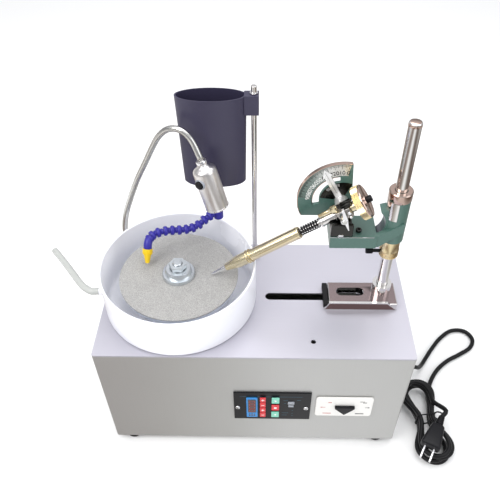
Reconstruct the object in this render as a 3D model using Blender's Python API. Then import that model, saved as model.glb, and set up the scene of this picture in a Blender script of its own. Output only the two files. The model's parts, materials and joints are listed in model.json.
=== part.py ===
"""Bench faceting machine with a 150 mm lap, mast-mounted quill head, drip tank and lamp.

Metres, +Z up.  The table is at z = 0.  Positions are written about the middle of the case;
frame_origin then moves the whole machine so that its own footprint is centred on the origin.
The machine's front faces -Y.
"""
import math

import bmesh
import bpy
from mathutils import Vector

for old in list(bpy.data.objects):
    bpy.data.objects.remove(old, do_unlink=True)

GAP = 0.0003          # clearance between pieces that touch
RUN = 0.0003          # running clearance, on the radius

# ---- case ---------------------------------------------------------------------------------
CASE_WIDTH = 0.390
CASE_DEPTH = 0.195
TABLE_TOP_Z = 0.200   # upper face of the top plate
FOOT_HEIGHT = 0.0095
FOOT_RADIUS = 0.010
FOOT_INSET = 0.010
FOOT_INSET_X = 0.023
SHEET = 0.0015
TOP_SHEET = 0.0020
CORNER_RADIUS = 0.003
SPARE_HOLE_RADIUS = 0.0032

# ---- spindle and lap ----------------------------------------------------------------------
LAP_X = -0.0955
LAP_Y = 0.0005
LAP_RADIUS = 0.075
LAP_THICKNESS = 0.002
LAP_TOP_Z = TABLE_TOP_Z + 0.040
PLATEN_RADIUS = 0.073
PLATEN_THICKNESS = 0.008
SPINDLE_RADIUS = 0.006
FLANGE_RADIUS = 0.025
FLANGE_THICKNESS = 0.005
WASHER_RADIUS = 0.0205
WASHER_HEIGHT = 0.005
HUB_RADIUS = 0.0165
HUB_HEIGHT = 0.007
NUT_FLATS = 0.019
NUT_HEIGHT = 0.007
MOTOR_RADIUS = 0.042
MOTOR_LENGTH = 0.095
MOTOR_BORE_DEPTH = 0.030

# ---- splash bowl --------------------------------------------------------------------------
BOWL_RADIUS = 0.0975
BOWL_HEIGHT = 0.0595
BOWL_WALL = 0.003
BOWL_COLLAR_HEIGHT = 0.020
BOWL_COLLAR_BORE = 0.013
DRAIN_ANGLE = math.radians(182)
DRAIN_Z = TABLE_TOP_Z + 0.0105
SPIGOT_RADIUS = 0.0045
SPIGOT_BORE = 0.003
SPIGOT_LENGTH = 0.009

# ---- mast, base and carriage --------------------------------------------------------------
MAST_X = 0.162
MAST_Y = 0.0
MAST_RADIUS = 0.007
MAST_TOP_Z = TABLE_TOP_Z + 0.2640
SLOT_START_X = 0.014
SLOT_END_X = 0.184
SLOT_HALF_WIDTH = 0.006
BASE_LEFT_X = 0.0953
BASE_RIGHT_X = 0.1816
BASE_FRONT_Y = -0.0225
BASE_BACK_Y = 0.0165
BASE_HEIGHT = 0.0105
RAIL_HEIGHT = 0.0135
RAIL_THICKNESS = 0.003
BOSS_RADIUS = 0.012
BOSS_TOP_Z = TABLE_TOP_Z + 0.0290
PAD_WIDTH = 0.0065
COLLAR_RADIUS = 0.011
COLLAR_RING_RADIUS = 0.0118
COLLAR_BOTTOM_Z = TABLE_TOP_Z + 0.0800
COLLAR_HEIGHT = 0.027
SCREW_RADIUS = 0.0035
SCREW_LENGTH = 0.016
SLEEVE_RADIUS = 0.013
SLEEVE_TOP_Z = TABLE_TOP_Z + 0.1780
ARM_BOTTOM_Z = TABLE_TOP_Z + 0.1025
ARM_HEIGHT = 0.017
ARM_FRONT_Y = -0.015
ARM_BACK_Y = 0.0245
ARM_LEFT_X = 0.088
ARM_BEND_X = 0.139
ARM_CURVE_RADIUS = 0.0242

# ---- quill head ---------------------------------------------------------------------------
PIVOT_X = 0.101
PIVOT_Z = TABLE_TOP_Z + 0.1465
TIP_X = -0.055
TIP_CLEARANCE = 0.0004
PIN_RADIUS = 0.004
QUADRANT_RADIUS = 0.051
QUADRANT_RING = 0.034
QUADRANT_HUB = 0.026
QUADRANT_FRONT_Y = 0.020
QUADRANT_THICKNESS = 0.004
QUADRANT_BOTTOM = 0.0235
BLOCK_RIGHT_X = 0.1135
BLOCK_TOP_Z = TABLE_TOP_Z + 0.1365
FORK_DEPTH = 0.0075
SWING_HALF = 0.0065
SWING_HALF_DEPTH = 0.008
POINTER_LEAN = math.radians(6)
LEVER_HUB_RADIUS = 0.0036
HOUSING_RADIUS = 0.0055
HOUSING_END = 0.0295
SHAFT_RADIUS = 0.003
WHEEL_RADIUS = 0.0202
WHEEL_START = -0.0195
WHEEL_THICKNESS = 0.0103
KNOB_RADIUS = 0.004
KNOB_LENGTH = 0.006
BARREL_START = 0.0570
BARREL_END = 0.129
BARREL_RADIUS = 0.00725
BARREL_TRAVEL = 0.006
SPRING_RADIUS = 0.0056
SPRING_WIRE = 0.0008
SPRING_TURNS = 8
CHUCK_END = 0.1644
CHUCK_NOSE_RADIUS = 0.0045
DOP_RADIUS = 0.003
DOP_TIP_RADIUS = 0.0013

# ---- lamp ---------------------------------------------------------------------------------
LAMP_X = -0.177
LAMP_Y = 0.080
NECK_RADIUS = 0.00375
LAMP_RADIUS = 0.014
LAMP_WALL = 0.0013
LAMP_TOP = Vector((-0.0580, 0.0330, TABLE_TOP_Z + 0.1840))
LAMP_MOUTH = Vector((-0.0435, 0.0250, TABLE_TOP_Z + 0.1310))
LAMP_BUTTON_RADIUS = 0.005

# ---- drip tank ----------------------------------------------------------------------------
ROD_X = -0.0005
ROD_Y = 0.075
ROD_RADIUS = 0.0032
ROD_TOP_Z = TABLE_TOP_Z + 0.2620
TANK_X = -0.049
TANK_TOP_RADIUS = 0.0405
TANK_BOTTOM_RADIUS = 0.0380
TANK_DEPTH_SHARE = 0.38
TANK_BOTTOM_Z = TABLE_TOP_Z + 0.1320
TANK_TOP_Z = TABLE_TOP_Z + 0.2510
TANK_WALL = 0.002
CLIP_HEIGHT = 0.023
OUTLET_X = -0.048
HOSE_RADIUS = 0.0055
HOSE_Z = TABLE_TOP_Z + 0.0790

# ---- control panels -----------------------------------------------------------------------
PANEL_LEFT_X = -0.026
PANEL_RIGHT_X = 0.0745
PANEL_BOTTOM_Z = 0.0635
PANEL_TOP_Z = 0.1265
PANEL_THICKNESS = 0.002
SWITCH_LEFT_X = 0.081
SWITCH_RIGHT_X = 0.155
SWITCH_BOTTOM_Z = 0.0740
SWITCH_TOP_Z = 0.118
SWITCH_THICKNESS = 0.0025
SELECTOR_X = 0.1185
SELECTOR_Z = 0.0975
SELECTOR_HEIGHT = 0.004
KEY_TRAVEL = 0.0008
KEY_HEIGHT = 0.0014

# ---- mains lead ---------------------------------------------------------------------------
GLAND_Y = 0.010
GLAND_Z = 0.032
CORD_RADIUS = 0.0032
RELIEF_LENGTH = 0.028
HANK_LENGTH = 0.124
HANK_WIDTH = 0.0452
HANK_HEIGHT = 0.0265
HANK_CENTRE = Vector((0.2455, -0.0700, 0.0))
HANK_TURN = math.radians(-81.5)

front_y = -CASE_DEPTH / 2
back_y = CASE_DEPTH / 2
half_width = CASE_WIDTH / 2
sheet_top_z = TABLE_TOP_Z - TOP_SHEET
lap_axis = Vector((LAP_X, LAP_Y, 0))
lap_bottom_z = LAP_TOP_Z - LAP_THICKNESS
platen_top_z = lap_bottom_z - GAP
flange_top_z = platen_top_z - PLATEN_THICKNESS - GAP
washer_z = LAP_TOP_Z + GAP
hub_top_z = washer_z + WASHER_HEIGHT + HUB_HEIGHT
nut_z = hub_top_z + GAP
spindle_top_z = nut_z + NUT_HEIGHT + 0.002
bowl_z = TABLE_TOP_Z + GAP
arm_top_z = ARM_BOTTOM_Z + ARM_HEIGHT
block_z = arm_top_z + GAP
collar_top_z = COLLAR_BOTTOM_Z + COLLAR_HEIGHT
sleeve_bottom_z = collar_top_z + GAP
tip_z = LAP_TOP_Z + TIP_CLEARANCE
quill_angle = math.atan2(PIVOT_Z - tip_z, PIVOT_X - TIP_X)
quill_length = math.hypot(PIVOT_Z - tip_z, PIVOT_X - TIP_X)


# ---- tools --------------------------------------------------------------------------------
def finish(name, colour, roughness, metallic=0.0):
    """A plain Principled material."""
    made = bpy.data.materials.new(name)
    made.use_nodes = True
    shader = made.node_tree.nodes["Principled BSDF"]
    shader.inputs["Base Color"].default_value = (*colour, 1.0)
    shader.inputs["Roughness"].default_value = roughness
    shader.inputs["Metallic"].default_value = metallic
    return made


STEEL = finish("brushed_steel", (0.55, 0.55, 0.54), 0.35, 1.0)
PLATE = finish("satin_plate", (0.72, 0.71, 0.76), 0.5, 0.6)
CHROME = finish("chrome", (0.80, 0.79, 0.77), 0.08, 1.0)
ZINC = finish("zinc", (0.66, 0.72, 0.76), 0.3, 1.0)
BRASS = finish("brass", (0.78, 0.66, 0.38), 0.25, 1.0)
GREEN = finish("green_casting", (0.16, 0.28, 0.24), 0.45, 0.0)
BLACK = finish("black_plastic", (0.02, 0.02, 0.022), 0.4)
RUBBER = finish("black_rubber", (0.015, 0.015, 0.016), 0.7)
BLACK_STEEL = finish("blued_steel", (0.05, 0.045, 0.04), 0.3, 0.8)
WHITE = finish("white_plastic", (0.85, 0.86, 0.90), 0.35)
DIAMOND = finish("diamond_grit", (0.46, 0.46, 0.45), 0.8, 0.3)
TANK_BLUE = finish("tank_plastic", (0.06, 0.055, 0.09), 0.4)
HOSE_BLUE = finish("hose_blue", (0.04, 0.03, 0.42), 0.4)
NOZZLE_YELLOW = finish("nozzle_yellow", (0.88, 0.68, 0.04), 0.4)
CLEAR = finish("clear_tube", (0.85, 0.88, 0.86), 0.15)
BEZEL_BLUE = finish("bezel_blue", (0.08, 0.30, 0.60), 0.4)
KEY_RED = finish("key_red", (0.75, 0.06, 0.05), 0.45)
KEY_GREEN = finish("key_green", (0.30, 0.70, 0.55), 0.45)
BOARD = finish("circuit_board", (0.03, 0.20, 0.08), 0.5)
LENS = finish("lamp_lens", (0.9, 0.9, 0.85), 0.1)

frame_origin = bpy.data.objects.new("frame_origin", None)
bpy.context.collection.objects.link(frame_origin)


def add(name, mesh_or_curve, material, location=(0, 0, 0), rotation=(0, 0, 0), parent=None):
    """Links a named object under the frame, or under a joint's empty."""
    made = bpy.data.objects.new(name, mesh_or_curve)
    bpy.context.collection.objects.link(made)
    made.parent = parent or frame_origin
    made.location = location
    made.rotation_euler = rotation
    if material:
        made.data.materials.append(material)
    return made


def from_bmesh(name, bm, material, smooth_below=35, **place):
    mesh = bpy.data.meshes.new(name)
    bm.to_mesh(mesh)
    bm.free()
    mesh.shade_smooth()
    mesh.set_sharp_from_angle(angle=math.radians(smooth_below))
    return add(name, mesh, material, **place)


def joint_at(name, location, rotation=(0, 0, 0)):
    """An empty on a joint's axis."""
    made = bpy.data.objects.new(name, None)
    bpy.context.collection.objects.link(made)
    made.parent = frame_origin
    made.location = location
    made.rotation_euler = rotation
    return made


def block(name, low, high, material, bevel=0.0, parent=None):
    """A box between two corners, with rounded edges if bevel is given."""
    low, high = Vector(low), Vector(high)
    bm = bmesh.new()
    bmesh.ops.create_cube(bm, size=1.0)
    bmesh.ops.scale(bm, vec=high - low, verts=bm.verts)
    if bevel:
        bmesh.ops.bevel(bm, geom=bm.edges[:], offset=bevel, segments=2, profile=0.5,
                        affect='EDGES', material=-1)
    return from_bmesh(name, bm, material, location=(low + high) / 2, parent=parent)


def turned(name, outline, material, steps=32, **place):
    """Spins (radius, height) points about local Z; an outline off the axis is a closed ring."""
    bm = bmesh.new()
    verts = [bm.verts.new((radius, 0, height)) for radius, height in outline]
    edges = [bm.edges.new(pair) for pair in zip(verts, verts[1:])]
    if outline[0][0] > 0:
        edges.append(bm.edges.new((verts[-1], verts[0])))
    bmesh.ops.spin(bm, geom=verts + edges, cent=(0, 0, 0), axis=(0, 0, 1), dvec=(0, 0, 0),
                   angle=math.tau, steps=steps, use_merge=True)
    bmesh.ops.remove_doubles(bm, verts=bm.verts, dist=1e-6)
    bmesh.ops.recalc_face_normals(bm, faces=bm.faces)
    return from_bmesh(name, bm, material, **place)


def pin(name, radius, low, high, material, steps=24, **place):
    """A plain round bar along local Z."""
    outline = [(0, low), (radius, low), (radius, high), (0, high)]
    return turned(name, outline, material, steps=steps, **place)


def tube(name, bore, radius, low, high, material, steps=32, **place):
    outline = [(bore, low), (radius, low), (radius, high), (bore, high)]
    return turned(name, outline, material, steps=steps, **place)


def arc(centre, radius, start, end, count):
    """Points along an arc, in degrees, both ends included."""
    angles = [math.radians(start + (end - start) * i / count) for i in range(count + 1)]
    return [(centre[0] + radius * math.cos(a), centre[1] + radius * math.sin(a)) for a in angles]


def rounded(left, right, low, high, radius, count=4):
    """A rectangle's outline with round corners."""
    corners = [((right - radius, high - radius), 0), ((left + radius, high - radius), 90),
               ((left + radius, low + radius), 180), ((right - radius, low + radius), 270)]
    return [p for centre, start in corners for p in arc(centre, radius, start, start + 90, count)]


def prism(name, outline, low, high, material, along="Y", **place):
    """Extrudes a flat outline: X,Y points along Z, or X,Z points along Y."""
    bm = bmesh.new()
    if along == "Y":
        verts = [bm.verts.new((a, low, b)) for a, b in outline]
        step = Vector((0, high - low, 0))
    else:
        verts = [bm.verts.new((a, b, low)) for a, b in outline]
        step = Vector((0, 0, high - low))
    face = bm.faces.new(verts)
    grown = bmesh.ops.extrude_face_region(bm, geom=[face])
    bmesh.ops.translate(bm, vec=step, verts=[v for v in grown["geom"] if isinstance(v, bmesh.types.BMVert)])
    bmesh.ops.recalc_face_normals(bm, faces=bm.faces)
    return from_bmesh(name, bm, material, **place)


def combine(target, other, operation="DIFFERENCE"):
    """Cuts, or joins, one solid with a hidden helper."""
    other.hide_render = True
    other.display_type = "WIRE"
    change = target.modifiers.new(operation.lower(), "BOOLEAN")
    change.operation = operation
    change.solver = "EXACT"
    change.object = other


def smooth_path(points, count):
    """Reads evenly spaced points from a smooth curve through the route's own points."""
    knots = [Vector(p) for p in points]
    ends = [knots[0] * 2 - knots[1]] + knots + [knots[-1] * 2 - knots[-2]]
    fine = []
    for a, b, c, d in zip(ends, ends[1:], ends[2:], ends[3:]):
        for i in range(24):
            t = i / 24
            fine.append(0.5 * ((2 * b) + (c - a) * t + (2 * a - 5 * b + 4 * c - d) * t * t
                               + (3 * b - a - 3 * c + d) * t ** 3))
    fine.append(knots[-1])
    travelled = [0.0]
    for a, b in zip(fine, fine[1:]):
        travelled.append(travelled[-1] + (b - a).length)
    out, i = [], 0
    for k in range(count):
        goal = travelled[-1] * k / (count - 1)
        while i < len(fine) - 2 and travelled[i + 1] < goal:
            i += 1
        share = (goal - travelled[i]) / max(travelled[i + 1] - travelled[i], 1e-9)
        out.append(fine[i].lerp(fine[i + 1], share))
    return out


def round_cord(name, points, radius, material, sides=2, **place):
    """A round cord along its points, with filled ends."""
    curve = bpy.data.curves.new(name, "CURVE")
    curve.dimensions = "3D"
    curve.bevel_depth = radius
    curve.bevel_resolution = sides
    curve.use_fill_caps = True
    spline = curve.splines.new("POLY")
    spline.points.add(len(points) - 1)
    for slot, place_at in zip(spline.points, points):
        slot.co = (*place_at, 1.0)
    return add(name, curve, material, **place)


# ---- case ---------------------------------------------------------------------------------
def make_case():
    outer = rounded(-half_width, half_width, front_y, back_y + CORNER_RADIUS * 4, CORNER_RADIUS)
    outer = [(x, min(y, back_y)) for x, y in outer]
    shell = prism("case_shell", [p for i, p in enumerate(outer) if p != outer[i - 1]],
                  FOOT_HEIGHT, sheet_top_z - GAP, STEEL, along="Z")
    inside = block("case_inside", (-half_width + SHEET, front_y + SHEET, 0),
                   (half_width - SHEET, back_y + 0.05, 0.3), None)
    combine(shell, inside)
    for name, left, right, low, high in (
            ("panel_window", PANEL_LEFT_X, PANEL_RIGHT_X, PANEL_BOTTOM_Z, PANEL_TOP_Z),
            ("switch_window", SWITCH_LEFT_X, SWITCH_RIGHT_X, SWITCH_BOTTOM_Z, SWITCH_TOP_Z)):
        margin = 0.008
        window = block(name, (left + margin, front_y - 0.01, low + margin),
                       (right - margin, front_y + 0.01, high - margin), None)
        combine(shell, window)
    gland_hole = pin("gland_hole", 0.0053, -0.01, 0.01, None, rotation=(0, math.radians(90), 0),
                     location=(half_width, GLAND_Y, GLAND_Z))
    combine(shell, gland_hole)

    inner_x = half_width - SHEET - GAP
    rear = block("rear_panel", (-inner_x, back_y - SHEET, FOOT_HEIGHT + SHEET + 2 * GAP),
                 (inner_x, back_y, sheet_top_z - GAP), STEEL)
    for i in range(6):
        x = LAP_X - 0.030 + i * 0.012
        vent = prism(f"vent_{i}", rounded(x - 0.002, x + 0.002, 0.080, 0.130, 0.0019, 2),
                     back_y - 0.01, back_y + 0.01, None)
        combine(rear, vent)
    block("base_plate", (-inner_x, front_y + SHEET + GAP, FOOT_HEIGHT),
          (inner_x, back_y, FOOT_HEIGHT + SHEET + GAP), STEEL)

    cut_low, cut_high = sheet_top_z - 0.01, TABLE_TOP_Z + 0.01
    top = prism("top_plate", rounded(-half_width, half_width, front_y, back_y, CORNER_RADIUS),
                sheet_top_z, TABLE_TOP_Z, PLATE, along="Z")
    slot = prism("slide_slot", rounded(SLOT_START_X, SLOT_END_X, MAST_Y - SLOT_HALF_WIDTH,
                                       MAST_Y + SLOT_HALF_WIDTH, SLOT_HALF_WIDTH * 0.999),
                 cut_low, cut_high, None, along="Z")
    combine(top, slot)
    combine(top, pin("spindle_hole", 0.016, cut_low, cut_high, None, location=lap_axis))
    combine(top, pin("spare_hole", SPARE_HOLE_RADIUS, cut_low, cut_high, None, steps=16,
                     location=(0.073, -0.073, 0)))

    dome = [(0, 0), (FOOT_RADIUS * 0.62, 0), (FOOT_RADIUS * 0.85, FOOT_HEIGHT * 0.18),
            (FOOT_RADIUS, FOOT_HEIGHT * 0.55), (FOOT_RADIUS, FOOT_HEIGHT - GAP), (0, FOOT_HEIGHT - GAP)]
    for side, x in (("left", -half_width + FOOT_INSET_X), ("right", half_width - FOOT_INSET_X)):
        for row, y in (("front", front_y + FOOT_INSET), ("rear", back_y - FOOT_INSET)):
            turned(f"foot_{row}_{side}", dome, RUBBER, steps=20, location=(x, y, 0))


def make_controls():
    face_y = front_y - GAP
    block("panel_plate", (PANEL_LEFT_X, face_y - PANEL_THICKNESS, PANEL_BOTTOM_Z),
          (PANEL_RIGHT_X, face_y, PANEL_TOP_Z), BLACK)
    block("control_board", (PANEL_LEFT_X + 0.012, front_y + 0.010, PANEL_BOTTOM_Z + 0.006),
          (PANEL_RIGHT_X - 0.012, front_y + 0.0116, PANEL_TOP_Z - 0.006), BOARD)
    key_y = face_y - PANEL_THICKNESS - GAP - KEY_TRAVEL
    block("display_bezel", (-0.0095, key_y - 0.0010, 0.0712),
          (0.0051, face_y - PANEL_THICKNESS - GAP, 0.1174), BEZEL_BLUE, bevel=0.0006)
    pitch = 0.0120
    for i in range(4):
        top = 0.1187 - i * pitch
        block(f"key_red_{i + 1}", (0.0081, key_y - KEY_HEIGHT, top - 0.0107),
              (0.0157, key_y, top), KEY_RED, bevel=0.0006)
    pitch = 0.0169
    for i, (name, colour) in enumerate((("key_start", KEY_GREEN), ("key_stop", KEY_RED),
                                        ("key_reverse", KEY_GREEN))):
        top = 0.1188 - i * pitch
        block(name, (0.0233, key_y - KEY_HEIGHT, top - 0.0132), (0.0333, key_y, top), colour,
              bevel=0.0006)
    prism("switch_plate", rounded(SWITCH_LEFT_X, SWITCH_RIGHT_X, SWITCH_BOTTOM_Z, SWITCH_TOP_Z, 0.004),
          face_y - SWITCH_THICKNESS, face_y, WHITE)
    half, rise, drop = 0.0129, 0.0032, 0.0142
    corners = [(-half, rise), (half, rise), (half, 0.0), (0.0, -drop), (-half, 0.0)]
    selector = joint_at("selector_axis", (SELECTOR_X, face_y - SWITCH_THICKNESS - GAP, SELECTOR_Z))
    prism("selector_knob", corners[::-1], -SELECTOR_HEIGHT, 0, BLACK, parent=selector)


# ---- drive --------------------------------------------------------------------------------
def make_drive():
    motor_top = sheet_top_z - GAP - 0.002
    bore = SPINDLE_RADIUS + RUN
    turned("motor_body", [(0, motor_top - MOTOR_LENGTH), (MOTOR_RADIUS, motor_top - MOTOR_LENGTH),
                          (MOTOR_RADIUS, motor_top), (bore, motor_top),
                          (bore, motor_top - MOTOR_BORE_DEPTH), (0, motor_top - MOTOR_BORE_DEPTH)],
           BLACK_STEEL, steps=40, location=lap_axis)
    shaft_bottom = motor_top - MOTOR_BORE_DEPTH + GAP
    turned("spindle_shaft", [(0, shaft_bottom), (SPINDLE_RADIUS, shaft_bottom),
                             (SPINDLE_RADIUS, flange_top_z - FLANGE_THICKNESS),
                             (FLANGE_RADIUS, flange_top_z - FLANGE_THICKNESS),
                             (FLANGE_RADIUS, flange_top_z), (SPINDLE_RADIUS, flange_top_z),
                             (SPINDLE_RADIUS, spindle_top_z - 0.001),
                             (SPINDLE_RADIUS - 0.001, spindle_top_z), (0, spindle_top_z)],
           ZINC, steps=24, location=lap_axis)
    tube("platen", bore, PLATEN_RADIUS, platen_top_z - PLATEN_THICKNESS, platen_top_z, ZINC,
         steps=36, location=lap_axis)
    tube("lap_disc", bore, LAP_RADIUS, lap_bottom_z, LAP_TOP_Z, DIAMOND, steps=48, location=lap_axis)
    turned("clamp_washer", [(bore, washer_z), (WASHER_RADIUS, washer_z),
                            (WASHER_RADIUS, washer_z + WASHER_HEIGHT), (HUB_RADIUS, washer_z + WASHER_HEIGHT),
                            (HUB_RADIUS - 0.001, hub_top_z), (bore, hub_top_z)],
           ZINC, steps=40, location=lap_axis)
    nut = pin("lap_nut", NUT_FLATS / 2 / math.cos(math.radians(30)), nut_z, nut_z + NUT_HEIGHT, ZINC,
              steps=6, location=lap_axis)
    combine(nut, pin("nut_bore", bore, nut_z - 0.01, nut_z + 0.02, None, location=lap_axis))


def make_bowl():
    outer, inner = BOWL_RADIUS, BOWL_RADIUS - BOWL_WALL
    floor_z = bowl_z + BOWL_WALL
    collar = BOWL_COLLAR_BORE
    outline = [(collar, bowl_z), (outer - 0.003, bowl_z), (outer, bowl_z + 0.003),
               (outer, bowl_z + BOWL_HEIGHT - 0.001), (outer - 0.001, bowl_z + BOWL_HEIGHT),
               (inner + 0.001, bowl_z + BOWL_HEIGHT), (inner, bowl_z + BOWL_HEIGHT - 0.001),
               (inner, floor_z + 0.004), (inner - 0.004, floor_z), (collar + 0.0025, floor_z),
               (collar + 0.0025, floor_z + BOWL_COLLAR_HEIGHT), (collar, floor_z + BOWL_COLLAR_HEIGHT)]
    bowl = turned("splash_bowl", outline, WHITE, steps=48, location=lap_axis)
    facing = (0, math.radians(90), DRAIN_ANGLE)
    at = lap_axis + Vector((0, 0, DRAIN_Z))
    combine(bowl, pin("drain_spigot", SPIGOT_RADIUS, inner + 0.001, outer + SPIGOT_LENGTH, None, steps=16,
                      location=at, rotation=facing), "UNION")
    combine(bowl, pin("drain_bore", SPIGOT_BORE, inner - 0.008, outer + 0.03, None, steps=12,
                      location=at, rotation=facing))


def over_table(x, y, height):
    return Vector((x, y, TABLE_TOP_Z + height))


def drain_route():
    """The clear hose's own points; the first is just clear of the spigot."""
    reach = BOWL_RADIUS + SPIGOT_LENGTH + GAP
    heading = Vector((math.cos(DRAIN_ANGLE), math.sin(DRAIN_ANGLE), 0))
    start = lap_axis + heading * reach + Vector((0, 0, DRAIN_Z))
    return [start, start + heading * 0.005, start + heading * 0.010,
            over_table(-0.2190, 0.0008, 0.0098), over_table(-0.2268, 0.0078, 0.0085),
            over_table(-0.2360, 0.0195, 0.0065), over_table(-0.2463, 0.0336, 0.0040),
            over_table(-0.2585, 0.0500, 0.0015), over_table(-0.2710, 0.0665, -0.0010),
            over_table(-0.2870, 0.0870, -0.0050)]


# ---- lamp ---------------------------------------------------------------------------------
def neck_route():
    down = (LAMP_MOUTH - LAMP_TOP).normalized()
    return [over_table(LAMP_X, LAMP_Y, 0.0110), over_table(LAMP_X, LAMP_Y, 0.0430),
            over_table(-0.1708, 0.0764, 0.0726), over_table(-0.1605, 0.0728, 0.1013),
            over_table(-0.1458, 0.0692, 0.1364), over_table(-0.1315, 0.0655, 0.1648),
            over_table(-0.1195, 0.0619, 0.1889), over_table(-0.1099, 0.0583, 0.2064),
            over_table(-0.1002, 0.0547, 0.2175), over_table(-0.0914, 0.0511, 0.2224),
            over_table(-0.0820, 0.0475, 0.2229), over_table(-0.0732, 0.0438, 0.2175),
            over_table(-0.0669, 0.0402, 0.2085), LAMP_TOP - down * 0.0140, LAMP_TOP - down * 0.0084]


def make_lamp():
    swivel = joint_at("lamp_swivel_axis", (LAMP_X, LAMP_Y, 0))
    bore = NECK_RADIUS + RUN
    turned("lamp_socket", [(bore, bowl_z), (0.010, bowl_z), (0.010, bowl_z + 0.006),
                           (0.0075, bowl_z + 0.010), (bore, bowl_z + 0.010)],
           CHROME, steps=24, location=(LAMP_X, LAMP_Y, 0))
    own = [p - Vector((LAMP_X, LAMP_Y, 0)) for p in neck_route()]
    round_cord("gooseneck", smooth_path(own, 34), NECK_RADIUS, CHROME, sides=2, parent=swivel)

    down = (LAMP_MOUTH - LAMP_TOP).normalized()
    facing = down.to_track_quat("Z", "Y").to_euler()
    length = (LAMP_MOUTH - LAMP_TOP).length
    inner = LAMP_RADIUS - LAMP_WALL
    at = LAMP_TOP - Vector((LAMP_X, LAMP_Y, 0))
    head = turned("lamp_head", [(0, -0.0080), (0.0055, -0.0080), (0.0060, -0.0010), (0.0105, 0.0010),
                                (LAMP_RADIUS, 0.0050), (LAMP_RADIUS, length), (inner, length),
                                (inner, 0.0075), (0, 0.0075)],
                  CHROME, steps=28, location=at, rotation=facing, parent=swivel)
    pin("lamp_lens", inner - GAP, length - 0.006, length - 0.003, LENS, steps=28,
        location=at, rotation=facing, parent=swivel)
    across = Vector((-0.55, -0.83, 0))
    side = (across - down * across.dot(down)).normalized()
    button_at = at + down * 0.016 + side * (LAMP_RADIUS - 0.0012)
    side_facing = side.to_track_quat("Z", "Y").to_euler()
    combine(head, pin("button_hole", LAMP_BUTTON_RADIUS + RUN, -0.006, 0.01, None, steps=20,
                      location=button_at, rotation=side_facing, parent=swivel))
    pin("lamp_button", LAMP_BUTTON_RADIUS, -0.0018, 0.0042, RUBBER, steps=20,
        location=button_at, rotation=side_facing, parent=swivel)


# ---- drip tank ----------------------------------------------------------------------------
def hose_route():
    leaving = Vector((-0.66, -0.40, 0)).normalized()
    outlet = Vector((OUTLET_X, ROD_Y, HOSE_Z))
    return [outlet + leaving * 0.0070, outlet + leaving * 0.0120,
            over_table(-0.0660, 0.0635, 0.0760), over_table(-0.0740, 0.0585, 0.0715),
            over_table(-0.0830, 0.0545, 0.0695), over_table(-0.0950, 0.0510, 0.0700),
            over_table(-0.1080, 0.0475, 0.0720), over_table(-0.1190, 0.0435, 0.0735),
            over_table(-0.1280, 0.0385, 0.0735), over_table(-0.1330, 0.0325, 0.0720),
            over_table(-0.1350, 0.0268, 0.0685), over_table(-0.1356, 0.0235, 0.0630)]


def make_tank():
    turned("bucket_rod", [(0, TABLE_TOP_Z + GAP), (0.0075, TABLE_TOP_Z + GAP), (0.0075, TABLE_TOP_Z + 0.005),
                          (ROD_RADIUS, TABLE_TOP_Z + 0.005), (ROD_RADIUS, ROD_TOP_Z), (0, ROD_TOP_Z)],
           CHROME, steps=20, location=(ROD_X, ROD_Y, 0))
    tank_axis = joint_at("tank_swivel_axis", (ROD_X, ROD_Y, 0))
    low, high, wall = TANK_BOTTOM_Z, TANK_TOP_Z, TANK_WALL
    at = Vector((TANK_X - ROD_X, 0, 0))
    tank = turned("water_bucket", [(0, low), (TANK_BOTTOM_RADIUS - 0.002, low), (TANK_BOTTOM_RADIUS, low + 0.002),
                                   (TANK_TOP_RADIUS, high), (TANK_TOP_RADIUS - wall, high),
                                   (TANK_BOTTOM_RADIUS - wall, low + 2 * wall), (0, low + 2 * wall)],
                  TANK_BLUE, steps=36, location=at, parent=tank_axis)
    tank.data.transform(((1, 0, 0, 0), (0, TANK_DEPTH_SHARE, 0, 0), (0, 0, 1, 0), (0, 0, 0, 1)))
    tank.data.update()
    clip_left = TANK_X + TANK_TOP_RADIUS - 0.003 - ROD_X
    clip = block("rod_clip", (clip_left, -0.0065, high - CLIP_HEIGHT), (ROD_RADIUS + 0.0025, 0.0065, high + 0.0015),
                 None, bevel=0.0006, parent=tank_axis)
    combine(tank, clip, "UNION")
    inside = pin("tank_inside", TANK_TOP_RADIUS - wall - 0.0004, high - CLIP_HEIGHT - 0.002, high + 0.01,
                 None, steps=36, location=at, parent=tank_axis)
    inside.data.transform(((1, 0, 0, 0), (0, TANK_DEPTH_SHARE * 0.98, 0, 0), (0, 0, 1, 0), (0, 0, 0, 1)))
    combine(tank, inside)
    combine(tank, pin("rod_bore", ROD_RADIUS + RUN, high - 0.05, high + 0.02, None, steps=20,
                      parent=tank_axis))

    outlet = Vector((OUTLET_X - ROD_X, 0, 0))
    turned("outlet_fitting", [(0, HOSE_Z - 0.007), (0.0065, HOSE_Z - 0.007), (0.0065, HOSE_Z + 0.007),
                              (0.0040, HOSE_Z + 0.009), (0.0040, low - 0.010), (0.0070, low - 0.009),
                              (0.0070, low - GAP), (0, low - GAP)],
           CLEAR, steps=20, location=outlet, parent=tank_axis)

    hose_axis = joint_at("hose_turn_axis", (OUTLET_X, ROD_Y, HOSE_Z))
    points = [p - hose_axis.location for p in hose_route()]
    path = smooth_path(points, 30)
    round_cord("coolant_hose", path, HOSE_RADIUS, HOSE_BLUE, parent=hose_axis)
    aim = (path[-1] - path[-2]).normalized()
    start = path[-1] + aim * GAP
    turned("hose_nozzle", [(0, 0), (0.0062, 0), (0.0062, 0.0065), (0.0045, 0.0090),
                           (0.0028, 0.0190), (0.0015, 0.0190), (0.0015, 0.0110), (0, 0.0110)],
           NOZZLE_YELLOW, steps=20, location=start, rotation=aim.to_track_quat("Z", "Y").to_euler(),
           parent=hose_axis)


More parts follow.
